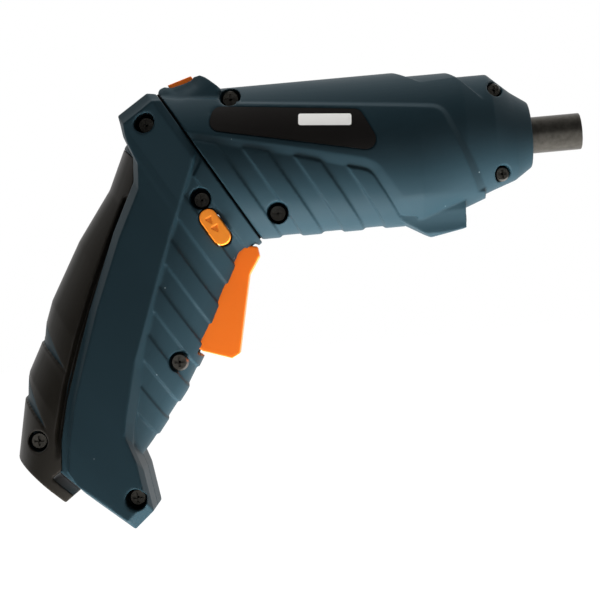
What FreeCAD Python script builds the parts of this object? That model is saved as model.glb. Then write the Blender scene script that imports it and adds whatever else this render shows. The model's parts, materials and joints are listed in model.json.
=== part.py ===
"""Two-position cordless screwdriver, drawn in its pistol position.

Model axes, in millimetres: +X runs along the bit axis and out of the tool, with 0 at the bit holder's mouth;
+Z is up; Y = 0 is the plane where the right (-Y) and left (+Y) casing halves meet. The head turns half a turn on
the handle about the normal of the slanted swivel plane, which makes the tool straight.
"""
import FreeCAD, Part
import math
import operator
import os

import Sketcher
from FreeCAD import Vector

SIZES = {
    # Swivel joint between head and handle
    "pivot_x": -112.3,
    "pivot_z": -1.3,
    "swivel_angle": 30.5,
    "swivel_gap": 0.6,
    "end_wall": 1.8,
    "hub_radius": 13,
    "hub_bore": 9,
    "hub_flange_radius": 15.6,
    "hub_flange": 1.9,
    "hub_play": 0.15,
    "running_gap": 0.06,
    "seat_gap": 0.05,
    "lock_notch_half": 3.3,
    "lock_notch_depth": 2,
    # Head casing
    "head_wall": 3.4,
    "panel_rise": 1.2,
    "panel_rear_x": -135,
    "panel_rear_top": 21.1,
    "panel_rear_bottom": 12.2,
    "panel_front_x": -42.3,
    "panel_front_top": 10.4,
    "panel_front_round": 6,
    "panel_toe_x": -24.9,
    "panel_heel_x": -49,
    "panel_end_z": -30,
    "panel_bend_x": -57,
    "panel_bend_z": -6,
    "panel_bend_round": 8,
    "panel_middle_x": -85,
    "panel_middle_z": 0,
    "crown_front_x": -39.6,
    "crown_front_z": 21,
    "crown_front_turn": 48,
    "crown_front_level": 19.5,
    "crown_front_radius": 19.2,
    "crown_back_x": -55.6,
    "crown_back_z": 22.5,
    "crown_back_turn": 33,
    "crown_back_level": 21,
    "crown_back_radius": 30,
    "hump_half": 17,
    "hump_reach": 29.5,
    "hump_height": 20,
    "lamp_bump_half": 10,
    "lamp_bump_radius": 10.5,
    "lamp_bump_bottom": -28,
    "lamp_bump_front_x": -37.2,
    "lamp_bump_low_x": -47.7,
    "lamp_bump_end_x": -57.5,
    "lamp_bump_end_z": -22,
    "lamp_bump_rake": 1.9,
    # Ribs, parallel with the swivel plane
    "rib_period": 10.85,
    "rib_width": 5.3,
    "rib_height": 0.65,
    # Handle casing
    "grip_wall": 2.4,
    "handle_wall": 4.7,
    "band_left_bevel": 3.2,
    "band_right_bevel": 3.4,
    "band_bevel_depth": 4.2,
    "cradle_thickness": 2.5,
    "cradle_front": 9,
    # Casing screws
    "boss_radius": 4.2,
    "screw_hole_radius": 3.15,
    "screw_head_radius": 2.75,
    "screw_head": 2,
    "screw_radius": 1.45,
    "screw_depth": 8,
    "screw_end_gap": 0.5,
    "screw_clearance": 0.05,
    "handle_screw_seat": 9,
    "head_screw_seat": 6,
    "nose_hole_radius": 2.5,
    "nose_screw_head_radius": 2.2,
    "nose_screw_seat": 6.5,
    # Bit holder and its bush
    "collar_radius": 5.5,
    "collar_gap": 0.3,
    "collar_chamfer": 0.8,
    "hex_width": 6.35,
    "hex_clearance": 0.1,
    "socket_depth": 14,
    "magnet_radius": 2.6,
    "magnet_length": 3,
    "journal_radius": 4.8,
    "journal_end_x": -36.5,
    "drive_width": 5.6,
    "bush_front_x": -17,
    "bush_length": 7.2,
    "bush_radius": 8,
    # Gear train
    "gear_module": 0.5,
    "gear_backlash": 0.12,
    "gear_tip_gap": 0.12,
    "sun_teeth": 8,
    "planet_teeth": 22,
    "ring_teeth": 52,
    "planet_count": 3,
    "gear_face": 5.5,
    "carrier_plate": 2.1,
    "carrier_radius": 10.6,
    "planet_pin_radius": 1.2,
    "axial_gap": 0.4,
    "gear_case_radius": 15.8,
    "cover_front_x": -35,
    "cover_plate": 2.5,
    "cover_hub_radius": 9,
    "cover_hub_length": 5,
    "ring_length": 20,
    "motor_plate": 2,
    # Motor
    "motor_radius": 14,
    "motor_wall": 1.2,
    "motor_length": 26.5,
    "motor_boss_radius": 3,
    "motor_rib": 2,
    "end_cap_radius": 13,
    "end_cap": 3,
    "magnet_ring": 1.9,
    "magnet_ring_length": 20,
    "magnet_split_half": 5,
    "armature_radius": 10.3,
    "armature_length": 14,
    "armature_slots": 5,
    "armature_slot_half": 1,
    "winding_radius": 9.2,
    "winding_length": 2.6,
    "commutator_radius": 4.5,
    "commutator_length": 2.2,
    "shaft_radius": 1,
    # Label, lamp and buttons
    "label_thickness": 0.8,
    "label_proud": 0.2,
    "label_gap": 0.1,
    "label_round": 3,
    "lamp_radius": 2.3,
    "lamp_z": -22.9,
    "lamp_length": 7,
    "lens_length": 1.2,
    "lens_proud": 0.5,
    "release_half": 4.8,
    "release_low": 4,
    "release_high": 11.4,
    "release_face_low": -29.3,
    "release_face_high": -27.5,
    "release_depth": 7.5,
    "release_gap": 0.3,
    "slider_thickness": 1.5,
    "slider_ring_radius": 14.5,
    "slider_ring_bore": 11,
    "slider_tongue_half": 4,
    "slider_tooth_half": 3,
    "slider_tooth": 1.6,
    "slider_clear": 0.4,
    "direction_along": 16.1,
    "direction_down": -9,
    "direction_length": 11.6,
    "direction_height": 5.2,
    "direction_round": 2.5,
    "direction_right": -18.8,
    "direction_left": 16,
    "direction_end": 6,
    "direction_stem_length": 5,
    "direction_stem_height": 3.4,
    "direction_stem_round": 1,
    "direction_gap": 0.3,
    # Trigger and switch, in the handle's own frame
    "trigger_half": 6.3,
    "trigger_gap": 0.5,
    "trigger_slot_top": -15.2,
    "trigger_slot_bottom": -52.4,
    "trigger_pin_forward": 16.8,
    "trigger_pin_up": -22,
    "trigger_pin_radius": 1,
    "trigger_pin_half": 8.2,
    "trigger_back": 13.6,
    "switch_back": 1.8,
    "switch_front": 8.6,
    "switch_half": 6,
    "switch_top": -28,
    "switch_bottom": -46,
    "switch_wall": 1,
    "plunger_up": -36,
    "plunger_radius": 1.8,
    "plunger_inside": 3,
    "plunger_gap": 0.4,
    # Battery and charging
    "cell_radius": 9.2,
    "cell_length": 64,
    "cell_forward": -8,
    "cell_top": -19,
    "cell_foot_gap": 6,
    "lower_cradle_rise": 9,
    "strap_thickness": 0.3,
    "strap_half": 3,
    "board_thickness": 1.6,
    "board_half": 6.5,
    "board_back": -4,
    "board_front": 8.2,
    "jack_forward": 10.5,
    "jack_half": 4.5,
    "jack_top_gap": 0.1,
    "jack_length": 11,
    "jack_barrel_radius": 4,
    "jack_barrel_length": 3.5,
    "jack_pin_sink": 1,
    "jack_bore_radius": 2.8,
    "jack_bore_depth": 9.5,
    "jack_pin_radius": 0.65,
    # How far cutting tools reach past the object
    "reach": 120,
}

# Head circles from the nose back: place along the axis, top and bottom heights
HEAD_STATIONS = {
    "nose_face": (-15.6, 10.1, -9.7),
    "nose_ring": (-20.6, 13.5, -13.1),
    "nose_shoulder": (-27.2, 19.4, -15.4),
    "crown": (-36, 22.5, -18.7),
    "barrel": (-50, 22.5, -23.3),
    "rear": (-145, 22.5, -23.3),
}

# Handle ovals parallel with the swivel plane: height, rear and front reach along the plane, half width
HANDLE_STATIONS = {
    "rim": (0, -26.5, 26.5, 21.8),
    "neck": (-8, -23.5, 27.6, 20),
    "web": (-17.4, -20.3, 33.8, 18.4),
    "palm": (-28.5, -12.6, 41, 17.8),
    "middle": (-45, -5.4, 49.8, 17.6),
}
# The foot's ovals, counted from the middle of the battery cell's lower end
FOOT_STATIONS = {
    "swell": (13.6, -30.9, 21.2, 17.6),
    "first_crest": (9.2, -27.3, 22.7, 17.4),
    "first_step": (3.6, -22.4, 24.8, 17.1),
    "second_crest": (-4.3, -17.6, 27.4, 16.9),
    "second_step": (-10.5, -11.3, 29.8, 16.5),
    "heel": (-21.9, 1.5, 33.8, 15.6),
}
OUTER_STATIONS = [*HANDLE_STATIONS, *FOOT_STATIONS]
INNER_STATIONS = ["rim", "neck", "web", "palm", "middle", "swell", "second_step", "heel"]

# Side band sections: height, left and right edges of its flat, half width
BAND_STATIONS = {
    "band_rim": (0, -23.2, -5.2, 21.4),
    "band_collar": (-2.4, -25.2, -3.5, 22.6),
    "band_block": (-13.2, -24.8, 4.5, 20.4),
    "band_under": (-15.5, -18, 6.2, 20.2),
    "band_web": (-16.6, -11.5, 7, 20),
    "band_neck": (-20.7, -5.6, 10, 19.7),
    "band_palm": (-34, 2.9, 20.7, 19.3),
    "band_middle": (-51, 15.8, 34.6, 19.2),
}
# Its lower sections, counted from the cell's lower end
BAND_FOOT_STATIONS = {
    "band_low": (12.6, -9.2, 11.6, 19),
    "band_jaw": (9.4, -6.4, 15.4, 18.9),
    "band_toe_root": (7.8, -5, 23.2, 18.8),
    "band_toe_top": (3.2, -1, 34.7, 18.6),
    "band_toe": (-4.4, 7.1, 36, 18.4),
    "band_end": (-10.3, 15, 19, 18),
}

# Edge of the rear grip in the swivel frame, then its lower run, counted from the cell's lower end
GRIP_EDGE = [(-40, -60), (-32, -20.4), (-13, -16.4), (-9, -20.1), (1.7, -35.5), (14.3, -53.2)]
GRIP_FOOT_EDGE = [
    (-3.3, 1.8), (5.3, -6.4), (12.4, -11.5), (12.9, -15.3), (20.7, -13.4), (21, -16.6), (1.5, -21.9),
    (-45.2, -21.8),
]
HANDLE_BOTTOM = [
    (-11.2, -19.2), (1.8, -19.2), (12.4, -12.4), (21.8, -10.3), (54.8, -0.4), (54.8, -54.4), (-11.2, -54.4),
]
RIB_REGION = [(80, 2), (-3, 2), (6, -16), (20, -42)]
RIB_FOOT_REGION = [(2.8, 13.6), (8.8, 5.6), (44.8, 5.6)]
BELLY_REGION = [(-140, 16), (-75, 4), (-52, -4), (-52, -40), (-140, -40)]
HUMP_SIDE = [
    (-12, 0), (-26.9, 0), (-28, 1.5), (-28, 3.2), (-26, 11.8), (-24.6, 13.6), (-22.5, 14.5), (-12, 17.5),
]
# Label corners in the model, each with the way that its clearance grows
LABEL_SIDE = [(-109, 15.3, -1, 1), (-111.4, 8.3, -1, -1), (-60.6, -2.8, 1, -1), (-66.8, 10.4, 1, 1)]
TRIGGER_SIDE = [
    (13.6, -18.4), (19.6, -16.9), (22.6, -15.9), (24.3, -18.2), (23.8, -24.5), (26, -31.9), (30.7, -47.4),
    (29.2, -49.6), (20.3, -51.2), (13.6, -49.8),
]

# Casing screws: places in the swivel frame, from the cell's lower end, and in the model
HANDLE_SCREWS = {"block": (-20.6, -8), "collar": (7, -7.6), "front": (42.1, -41)}
FOOT_SCREWS = {"toe": (32.3, 1.2), "grip": (1.6, -12.8)}
HEAD_SCREWS = {"top": (-104.2, 18.2), "belly": (-93.2, -17)}
NOSE_SCREWS = {"upper": (-25.8, 13.8), "lower": (-25.5, -11.3)}
CRADLES = {"upper": -31.5, "middle": -43.5}
BELLY_RIBS = 5
FRONT_RIBS = 6

for station, (along, top, bottom) in HEAD_STATIONS.items():
    SIZES.update({f"{station}_x": along, f"{station}_top": top, f"{station}_bottom": bottom})
for stations in (HANDLE_STATIONS, FOOT_STATIONS, BAND_STATIONS, BAND_FOOT_STATIONS):
    for station, (height, rear, front, half) in stations.items():
        SIZES.update({f"{station}_height": height, f"{station}_rear": rear, f"{station}_front": front})
        SIZES[f"{station}_half"] = half
for screws in (HANDLE_SCREWS, FOOT_SCREWS, HEAD_SCREWS, NOSE_SCREWS):
    for place, (along, up) in screws.items():
        SIZES.update({f"{place}_screw_along": along, f"{place}_screw_up": up})
for place, up in CRADLES.items():
    SIZES[f"{place}_cradle_up"] = up

doc = FreeCAD.newDocument("screwdriver")
sheet = doc.addObject("Spreadsheet::Sheet", "Sizes")
for row, (alias, number) in enumerate(SIZES.items(), 1):
    sheet.set(f"A{row}", alias)
    sheet.set(f"B{row}", str(number))
    sheet.setAlias(f"B{row}", alias)
doc.recompute()


class Size:
    """A number and the sheet expression that gives it."""

    def __init__(self, value, text):
        self.value = float(value)
        self.text = text


def as_size(number):
    """Return a Size for a Size or a plain number."""
    return number if isinstance(number, Size) else Size(number, repr(number))


def joined(sign, work, swapped=False):
    """Return the method that joins two sizes with one sign of arithmetic."""
    def method(self, other):
        first, second = self, as_size(other)
        if swapped:
            first, second = second, first
        return Size(work(first.value, second.value), f"({first.text} {sign} {second.text})")
    return method


for sign, word, work in (("+", "add", operator.add), ("-", "sub", operator.sub),
                         ("*", "mul", operator.mul), ("/", "truediv", operator.truediv)):
    setattr(Size, f"__{word}__", joined(sign, work))
    setattr(Size, f"__r{word}__", joined(sign, work, swapped=True))


def cosine(angle):
    return Size(math.cos(math.radians(angle.value)), f"cos({angle.text})")


def sine(angle):
    return Size(math.sin(math.radians(angle.value)), f"sin({angle.text})")


class Sheet:
    """Gives each named size of the sheet as an attribute."""

    def __getattr__(self, alias):
        return Size(SIZES[alias], f"Sizes.{alias}")

    def of(self, *words):
        return getattr(self, "_".join(words))


dim = Sheet()

# Turns of an object inside its frame, by the frame axis that its own Z then follows
TURNS = {
    "z": "",
    "x": " * rotation(vector(0; 1; 0); 90)",
    "y": " * rotation(vector(1; 0; 0); -90)",
    "side": " * rotation(vector(1; 0; 0); 90)",
}


class Frame:
    """A frame with its origin at (x, 0, z) of the model and turned about Y."""

    def __init__(self, x, z, turn):
        self.x, self.z, self.turn = as_size(x), as_size(z), as_size(turn)

    def at(self, along, up):
        """Return the model's x and z of a point of this frame."""
        along, up = as_size(along), as_size(up)
        model_x = self.x + along * cosine(self.turn) + up * sine(self.turn)
        model_z = self.z - along * sine(self.turn) + up * cosine(self.turn)
        return model_x, model_z

    def place(self, item, x=0, y=0, z=0, axis="z"):
        """Bind an object's placement to a point of this frame."""
        model_x, model_z = self.at(x, z)
        spot = f"vector({model_x.text}; {as_size(y).text}; {model_z.text})"
        turn = f"rotation(vector(0; 1; 0); {self.turn.text}){TURNS[axis]}"
        item.setExpression("Placement", f"placement({spot}; {turn})")
        return item


MODEL = Frame(0, 0, 0)
SWIVEL = Frame(dim.pivot_x, dim.pivot_z, 90 - dim.swivel_angle)
HANDLE = Frame(dim.pivot_x, dim.pivot_z, 90 - dim.swivel_angle * 2)
# The handle's foot hangs from the battery cell's lower end and is square with the swivel plane
CELL_BOTTOM = dim.cell_top - dim.cell_length
CAVITY_FLOOR = CELL_BOTTOM - dim.cell_foot_gap
FOOT = Frame(*HANDLE.at(dim.cell_forward, CELL_BOTTOM), SWIVEL.turn)
FOOT_ALONG = dim.cell_forward * cosine(dim.swivel_angle) - CELL_BOTTOM * sine(dim.swivel_angle)
FOOT_UP = dim.cell_forward * sine(dim.swivel_angle) + CELL_BOTTOM * cosine(dim.swivel_angle)


def with_foot(corners, foot_corners):
    """Return corners of the swivel frame followed by corners counted from the cell's lower end."""
    return corners + [(FOOT_ALONG + along, FOOT_UP + up) for along, up in foot_corners]


def make(kind, name, **sizes):
    """Add an object whose sizes are bound to the sheet."""
    item = doc.addObject(kind, name)
    for field, number in sizes.items():
        item.setExpression(field, as_size(number).text)
    return item


def cylinder(name, frame, start, axis, radius, length):
    return frame.place(make("Part::Cylinder", name, Radius=radius, Height=length), *start, axis)


def rod(name, rear_x, front_x, radius):
    """Return a cylinder on the bit axis."""
    return cylinder(name, MODEL, (rear_x, 0, 0), "x", radius, as_size(front_x) - rear_x)


def box(name, frame, low, high):
    length, width, height = (as_size(end) - start for start, end in zip(low, high))
    return frame.place(make("Part::Box", name, Length=length, Width=width, Height=height), *low)


def fuse(name, *shapes):
    item = doc.addObject("Part::MultiFuse", name)
    item.Shapes = list(shapes)
    return item


def common(name, *shapes):
    item = doc.addObject("Part::MultiCommon", name)
    item.Shapes = list(shapes)
    return item


def cut(name, base, *tools):
    item = doc.addObject("Part::Cut", name)
    item.Base = base
    item.Tool = tools[0] if len(tools) == 1 else fuse(f"{name}_tools", *tools)
    return item


def group(name, *shapes):
    item = doc.addObject("Part::Compound", name)
    item.Links = list(shapes)
    return item


def outline(name, corners):
    """Return a sketch of the closed line through corners, each (across, up) or (across, up, round)."""
    sketch = doc.addObject("Sketcher::SketchObject", name)
    corners = [tuple(as_size(number) for number in corner) for corner in corners]
    spots = [Vector(corner[0].value, corner[1].value, 0) for corner in corners]
    count = len(corners)
    starts, ends = list(spots), list(spots)
    for index, corner in enumerate(corners):
        if len(corner) == 3:
            before = (spots[index - 1] - spots[index]).normalize()
            after = (spots[(index + 1) % count] - spots[index]).normalize()
            setback = corner[2].value / math.tan(before.getAngle(after) / 2)
            ends[index] = spots[index] + before * setback
            starts[index] = spots[index] + after * setback
    for index in range(count):
        sketch.addGeometry(Part.LineSegment(starts[index], ends[(index + 1) % count]))

    def bind(kind, number, *places):
        spot = sketch.addConstraint(Sketcher.Constraint(kind, *places, number.value))
        sketch.setExpression(f"Constraints[{spot}]", number.text)

    for index, corner in enumerate(corners):
        before, after = (index - 1) % count, index
        if len(corner) == 2:
            sketch.addConstraint(Sketcher.Constraint("Coincident", before, 2, after, 1))
            point = (after, 1)
        else:
            inward = (ends[index] + starts[index]) * 0.5 - spots[index]
            reach = math.hypot(corner[2].value, spots[index].distanceToPoint(ends[index]))
            centre = spots[index] + inward.normalize() * reach
            turn_left = (spots[index] - ends[index]).cross(starts[index] - spots[index]).z > 0
            first, last = (ends[index], starts[index]) if turn_left else (starts[index], ends[index])
            angles = [math.atan2(spot.y - centre.y, spot.x - centre.x) for spot in (first, last)]
            circle = Part.Circle(centre, Vector(0, 0, 1), corner[2].value)
            arc = sketch.addGeometry(Part.ArcOfCircle(circle, *angles))
            mark = sketch.addGeometry(Part.Point(spots[index]), True)
            sketch.addConstraint(Sketcher.Constraint("Tangent", before, 2, arc, 1 if turn_left else 2))
            sketch.addConstraint(Sketcher.Constraint("Tangent", after, 1, arc, 2 if turn_left else 1))
            sketch.addConstraint(Sketcher.Constraint("PointOnObject", mark, 1, before))
            sketch.addConstraint(Sketcher.Constraint("PointOnObject", mark, 1, after))
            bind("Radius", corner[2], arc)
            point = (mark, 1)
        bind("DistanceX", corner[0], -1, 1, *point)
        bind("DistanceY", corner[1], -1, 1, *point)
    return sketch


def add_arc(sketch, centre, radius, first, last):
    """Draw an arc between two angles in degrees and return its number in the sketch."""
    circle = Part.Circle(Vector(*centre, 0), Vector(0, 0, 1), radius.value)
    return sketch.addGeometry(Part.ArcOfCircle(circle, math.radians(first), math.radians(last)))


def bind_radius(sketch, arc, radius):
    spot = sketch.addConstraint(Sketcher.Constraint("Radius", arc, radius.value))
    sketch.setExpression(f"Constraints[{spot}]", radius.text)


def round_section(name, radius):
    """Return a circle about the sketch's origin, drawn as two half arcs that meet on its upright axis."""
    sketch = doc.addObject("Sketcher::SketchObject", name)
    near = add_arc(sketch, (0, 0), radius, -90, 90)
    far = add_arc(sketch, (0, 0), radius, 90, 270)
    origin, upright = -1, -2
    sketch.addConstraint(Sketcher.Constraint("Coincident", near, 3, origin, 1))
    for end in (1, 2):
        sketch.addConstraint(Sketcher.Constraint("PointOnObject", near, end, upright))
    sketch.addConstraint(Sketcher.Constraint("Coincident", near, 2, far, 1))
    sketch.addConstraint(Sketcher.Constraint("Coincident", far, 2, near, 1))
    sketch.addConstraint(Sketcher.Constraint("PointOnObject", far, 3, upright))
    bind_radius(sketch, near, radius)
    return sketch


def oval_section(name, half_length, half_width):
    """Return an oval about the sketch's origin: two end arcs and two flatter side arcs, all tangent."""
    sketch = doc.addObject("Sketcher::SketchObject", name)
    end_radius = half_width * half_width / half_length
    offset = half_length - end_radius
    squares = offset * offset + half_width * half_width - end_radius * end_radius
    side_radius = squares / ((half_width - end_radius) * 2)
    drop = side_radius.value - half_width.value
    lean = math.degrees(math.atan2(drop, offset.value))
    right = add_arc(sketch, (offset.value, 0), end_radius, -lean, lean)
    top = add_arc(sketch, (0, -drop), side_radius, lean, 180 - lean)
    left = add_arc(sketch, (-offset.value, 0), end_radius, 180 - lean, 180 + lean)
    bottom = add_arc(sketch, (0, drop), side_radius, 180 + lean, 360 - lean)
    ring = [right, top, left, bottom]
    for arc, following in zip(ring, ring[1:] + ring[:1]):
        sketch.addConstraint(Sketcher.Constraint("Tangent", arc, 2, following, 1))
    level, origin = -1, (-1, 1)
    for arc, place in ((right, offset), (left, 0 - offset)):
        sketch.addConstraint(Sketcher.Constraint("PointOnObject", arc, 3, level))
        spot = sketch.addConstraint(Sketcher.Constraint("DistanceX", *origin, arc, 3, place.value))
        sketch.setExpression(f"Constraints[{spot}]", place.text)
        bind_radius(sketch, arc, end_radius)
    for arc in (top, bottom):
        bind_radius(sketch, arc, side_radius)
    return sketch


def extruded(name, sketch, length):
    item = make("Part::Extrusion", name, LengthFwd=length)
    item.Base = sketch
    item.DirMode = "Normal"
    item.Solid = True
    return item


def prism(name, frame, corners, low, high):
    """Return the solid between two Y levels whose side view is the outline."""
    sketch = frame.place(outline(f"{name}_side", corners), 0, high, 0, "side")
    return extruded(name, sketch, as_size(high) - low)


def through(name, frame, corners):
    """Return a prism that reaches right through the tool."""
    return prism(name, frame, corners, 0 - dim.reach, dim.reach)


def loft(name, sections):
    item = doc.addObject("Part::Loft", name)
    item.Sections = sections
    item.Solid = True
    item.Ruled = True
    return item


NODES = {}


def node(label, item):
    """Name a finished sub-part."""
    item.Label = label
    NODES[label] = item
    return item


# Half spaces

FAR = 0 - dim.reach * 2
RIGHT_HALF = box("right_half", MODEL, (FAR, 0 - dim.reach, FAR), (dim.reach, 0, dim.reach))
LEFT_HALF = box("left_half", MODEL, (FAR, 0, FAR), (dim.reach, dim.reach, dim.reach))


def above_swivel(name, level):
    low = (0 - dim.reach, 0 - dim.reach, level)
    return box(name, SWIVEL, low, (dim.reach, dim.reach, dim.reach * 2))


def below_swivel(name, level):
    low = (0 - dim.reach, 0 - dim.reach, 0 - dim.reach * 2)
    return box(name, SWIVEL, low, (dim.reach, dim.reach, level))


HALF_GAP = dim.swivel_gap / 2
WALL_LEVEL = HALF_GAP + dim.end_wall

# Casing screws


def screw_set(name, frame, places, seat, hole_radius, head_radius, boss_radius):
    """Return the bosses, right-hand holes, left-hand holes and screws at named places of a frame."""
    bosses, right_holes, left_holes, screws = [], [], [], []
    for place in places:
        along, up = dim.of(place, "screw_along"), dim.of(place, "screw_up")
        spot = f"{name}_{place}"
        boss_start = (along, 0 - dim.reach / 4, up)
        bosses.append(cylinder(f"{spot}_boss", frame, boss_start, "y", boss_radius, dim.reach / 2))
        mouth_start = (along, 0 - dim.reach, up)
        mouth = cylinder(f"{spot}_mouth", frame, mouth_start, "y", hole_radius, dim.reach - seat)
        clearance = dim.screw_radius + dim.screw_clearance
        neck = cylinder(f"{spot}_neck", frame, (along, 0 - seat - 1, up), "y", clearance, seat + 1)
        right_holes += [mouth, neck]
        pilot_depth = dim.screw_depth + dim.screw_end_gap
        left_holes.append(cylinder(f"{spot}_pilot", frame, (along, 0, up), "y", clearance, pilot_depth))
        head_start = (along, 0 - seat - dim.screw_head, up)
        head = cylinder(f"{spot}_head", frame, head_start, "y", head_radius, dim.screw_head)
        shank_length = seat + dim.screw_depth
        shank = cylinder(f"{spot}_shank", frame, (along, 0 - seat, up), "y", dim.screw_radius, shank_length)
        screws.append(fuse(f"{spot}_screw", head, shank))
    return bosses, right_holes, left_holes, screws


handle_screws = screw_set("handle", SWIVEL, HANDLE_SCREWS, dim.handle_screw_seat, dim.screw_hole_radius,
                          dim.screw_head_radius, dim.boss_radius)
foot_screws = screw_set("foot", FOOT, FOOT_SCREWS, dim.handle_screw_seat, dim.screw_hole_radius,
                        dim.screw_head_radius, dim.boss_radius)
head_screws = screw_set("head", MODEL, HEAD_SCREWS, dim.head_screw_seat, dim.screw_hole_radius,
                        dim.screw_head_radius, dim.boss_radius)
nose_screws = screw_set("nose", MODEL, NOSE_SCREWS, dim.nose_screw_seat, dim.nose_hole_radius,
                        dim.nose_screw_head_radius, dim.nose_hole_radius)
node("handle_screws", group("handle_screw_group", *handle_screws[3], *foot_screws[3]))
node("head_screws", group("head_screw_group", *head_screws[3], *nose_screws[3]))

# Head casing


def head_form(name, rise):
    """Return the head's round form, grown outward by rise."""
    sections = []
    for station in HEAD_STATIONS:
        top, bottom = dim.of(station, "top"), dim.of(station, "bottom")
        circle = round_section(f"{name}_{station}", (top - bottom) / 2 + rise)
        sections.append(MODEL.place(circle, dim.of(station, "x"), 0, (top + bottom) / 2, "x"))
    return loft(name, sections)


def crown_cut(place):
    """Return what one slanted step takes off the crown, down to its saddle."""
    word = f"crown_{place}"
    slope = Frame(dim.of(word, "x"), dim.of(word, "z"), dim.of(word, "turn"))
    reach = dim.reach
    ahead = box(f"{word}_ahead", slope, (0 - reach, 0 - reach, 0), (reach, reach, reach))
    radius = dim.of(word, "radius")
    saddle_start = (0 - reach * 2, 0, dim.of(word, "level") - radius)
    saddle = cylinder(f"{word}_saddle", MODEL, saddle_start, "x", radius, reach * 3)
    return cut(f"{word}_cut", ahead, saddle)


def rib_slabs(name, count, direction):
    """Return slabs parallel with the swivel plane, counted away from it."""
    slabs = []
    for step in range(count):
        near = dim.rib_period * step * direction
        far = near + dim.rib_width * direction
        low, high = (near, far) if direction > 0 else (far, near)
        start = (0 - dim.reach, 0 - dim.reach, low)
        slabs.append(box(f"{name}_{step}", SWIVEL, start, (dim.reach, dim.reach, high)))
    return fuse(f"{name}_slabs", *slabs)


barrel_radius = (dim.barrel_top - dim.barrel_bottom) / 2
barrel_centre = (dim.barrel_top + dim.barrel_bottom) / 2

crowned_head = cut("crowned_head", head_form("head_body", 0), crown_cut("front"), crown_cut("back"))
belly_skin = cylinder("belly_skin", MODEL, (dim.rear_x, 0, barrel_centre), "x", barrel_radius + dim.rib_height,
                      dim.barrel_x - dim.rear_x)
belly_ribs = common("belly_ribs", rib_slabs("belly_rib", BELLY_RIBS, 1), belly_skin,
                    through("belly_region", MODEL, BELLY_REGION))
panel_side = [
    (dim.panel_rear_x, dim.panel_rear_top),
    (dim.panel_front_x, dim.panel_front_top, dim.panel_front_round),
    (dim.panel_toe_x, dim.panel_end_z),
    (dim.panel_heel_x, dim.panel_end_z),
    (dim.panel_bend_x, dim.panel_bend_z, dim.panel_bend_round),
    (dim.panel_middle_x, dim.panel_middle_z),
    (dim.panel_rear_x, dim.panel_rear_bottom),
]
panel_skin = head_form("panel_skin", dim.panel_rise)
side_panel = common("side_panel", through("panel_region", MODEL, panel_side), panel_skin)
bump_side = [
    (dim.lamp_bump_front_x, 0),
    (dim.lamp_bump_front_x, dim.lamp_bump_bottom + dim.lamp_bump_rake),
    (dim.lamp_bump_low_x, dim.lamp_bump_bottom),
    (dim.lamp_bump_end_x, dim.lamp_bump_end_z),
    (dim.lamp_bump_end_x, 0),
]
bump_start = (dim.lamp_bump_end_x, 0, dim.lamp_bump_bottom + dim.lamp_bump_radius)
bump_length = dim.lamp_bump_front_x - dim.lamp_bump_end_x
bump_round = cylinder("bump_round", MODEL, bump_start, "x", dim.lamp_bump_radius, bump_length)
lamp_bump = common("lamp_bump", bump_round,
                   prism("bump_region", MODEL, bump_side, 0 - dim.lamp_bump_half, dim.lamp_bump_half))
hump_oval = SWIVEL.place(oval_section("hump_oval", dim.hump_reach, dim.hump_half))
hump = common("release_hump", extruded("hump_shaft", hump_oval, dim.hump_height),
              through("hump_side", SWIVEL, HUMP_SIDE))
head_mass = fuse("head_mass", crowned_head, belly_ribs, side_panel, lamp_bump, hump)
head_outside = common("head_outside", head_mass, above_swivel("head_side", HALF_GAP))

# Stations along the bit axis behind the nose
cover_back_x = dim.cover_front_x - dim.cover_plate
ring_back_x = cover_back_x - dim.ring_length
motor_front_x = ring_back_x - dim.motor_plate
motor_back_x = motor_front_x - dim.motor_length
bush_back_x = dim.bush_front_x - dim.bush_length
rib_front_x = motor_front_x - dim.motor_rib * 2
rib_back_x = motor_back_x + dim.motor_rib * 2
space_radius = barrel_radius - dim.head_wall

nose_hole = rod("nose_hole", dim.bush_front_x, 0, dim.journal_radius + dim.collar_gap)
bush_seat = rod("bush_seat", bush_back_x, dim.bush_front_x, dim.bush_radius + dim.seat_gap)
spindle_space = rod("spindle_space", dim.cover_front_x, bush_back_x, dim.cover_hub_radius + dim.seat_gap)
gear_seat = rod("gear_seat", motor_front_x, dim.cover_front_x, dim.gear_case_radius + dim.seat_gap)
motor_bore = rod("motor_bore", motor_back_x, motor_front_x, dim.motor_radius + dim.seat_gap)
motor_space = rod("motor_space", rib_back_x, rib_front_x, dim.gear_case_radius)
rear_space = rod("rear_space", dim.rear_x, motor_back_x + dim.motor_rib, space_radius)
head_space = fuse("head_space", spindle_space, gear_seat, motor_bore, motor_space, rear_space)
head_bosses = fuse("head_bosses", *head_screws[0])
head_room = common("head_room", head_space, above_swivel("head_floor", WALL_LEVEL))
head_cavity = cut("head_cavity", head_room, head_bosses)
neck_bore = cylinder("neck_bore", SWIVEL, (0, 0, 0), "z", dim.hub_radius + dim.running_gap, WALL_LEVEL * 2)
pocket_half = dim.release_half + dim.release_gap
release_pocket = box("release_pocket", SWIVEL,
                     (0 - dim.reach, 0 - pocket_half, dim.release_low - dim.release_gap),
                     (0 - dim.hub_radius, pocket_half, dim.release_high + dim.release_gap))
lamp_back_x = dim.lamp_bump_front_x - dim.lens_length + dim.lens_proud - dim.lamp_length
lamp_start = (lamp_back_x, 0, dim.lamp_z)
lamp_bore = cylinder("lamp_bore", MODEL, lamp_start, "x", dim.lamp_radius + dim.seat_gap, dim.reach)


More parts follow.
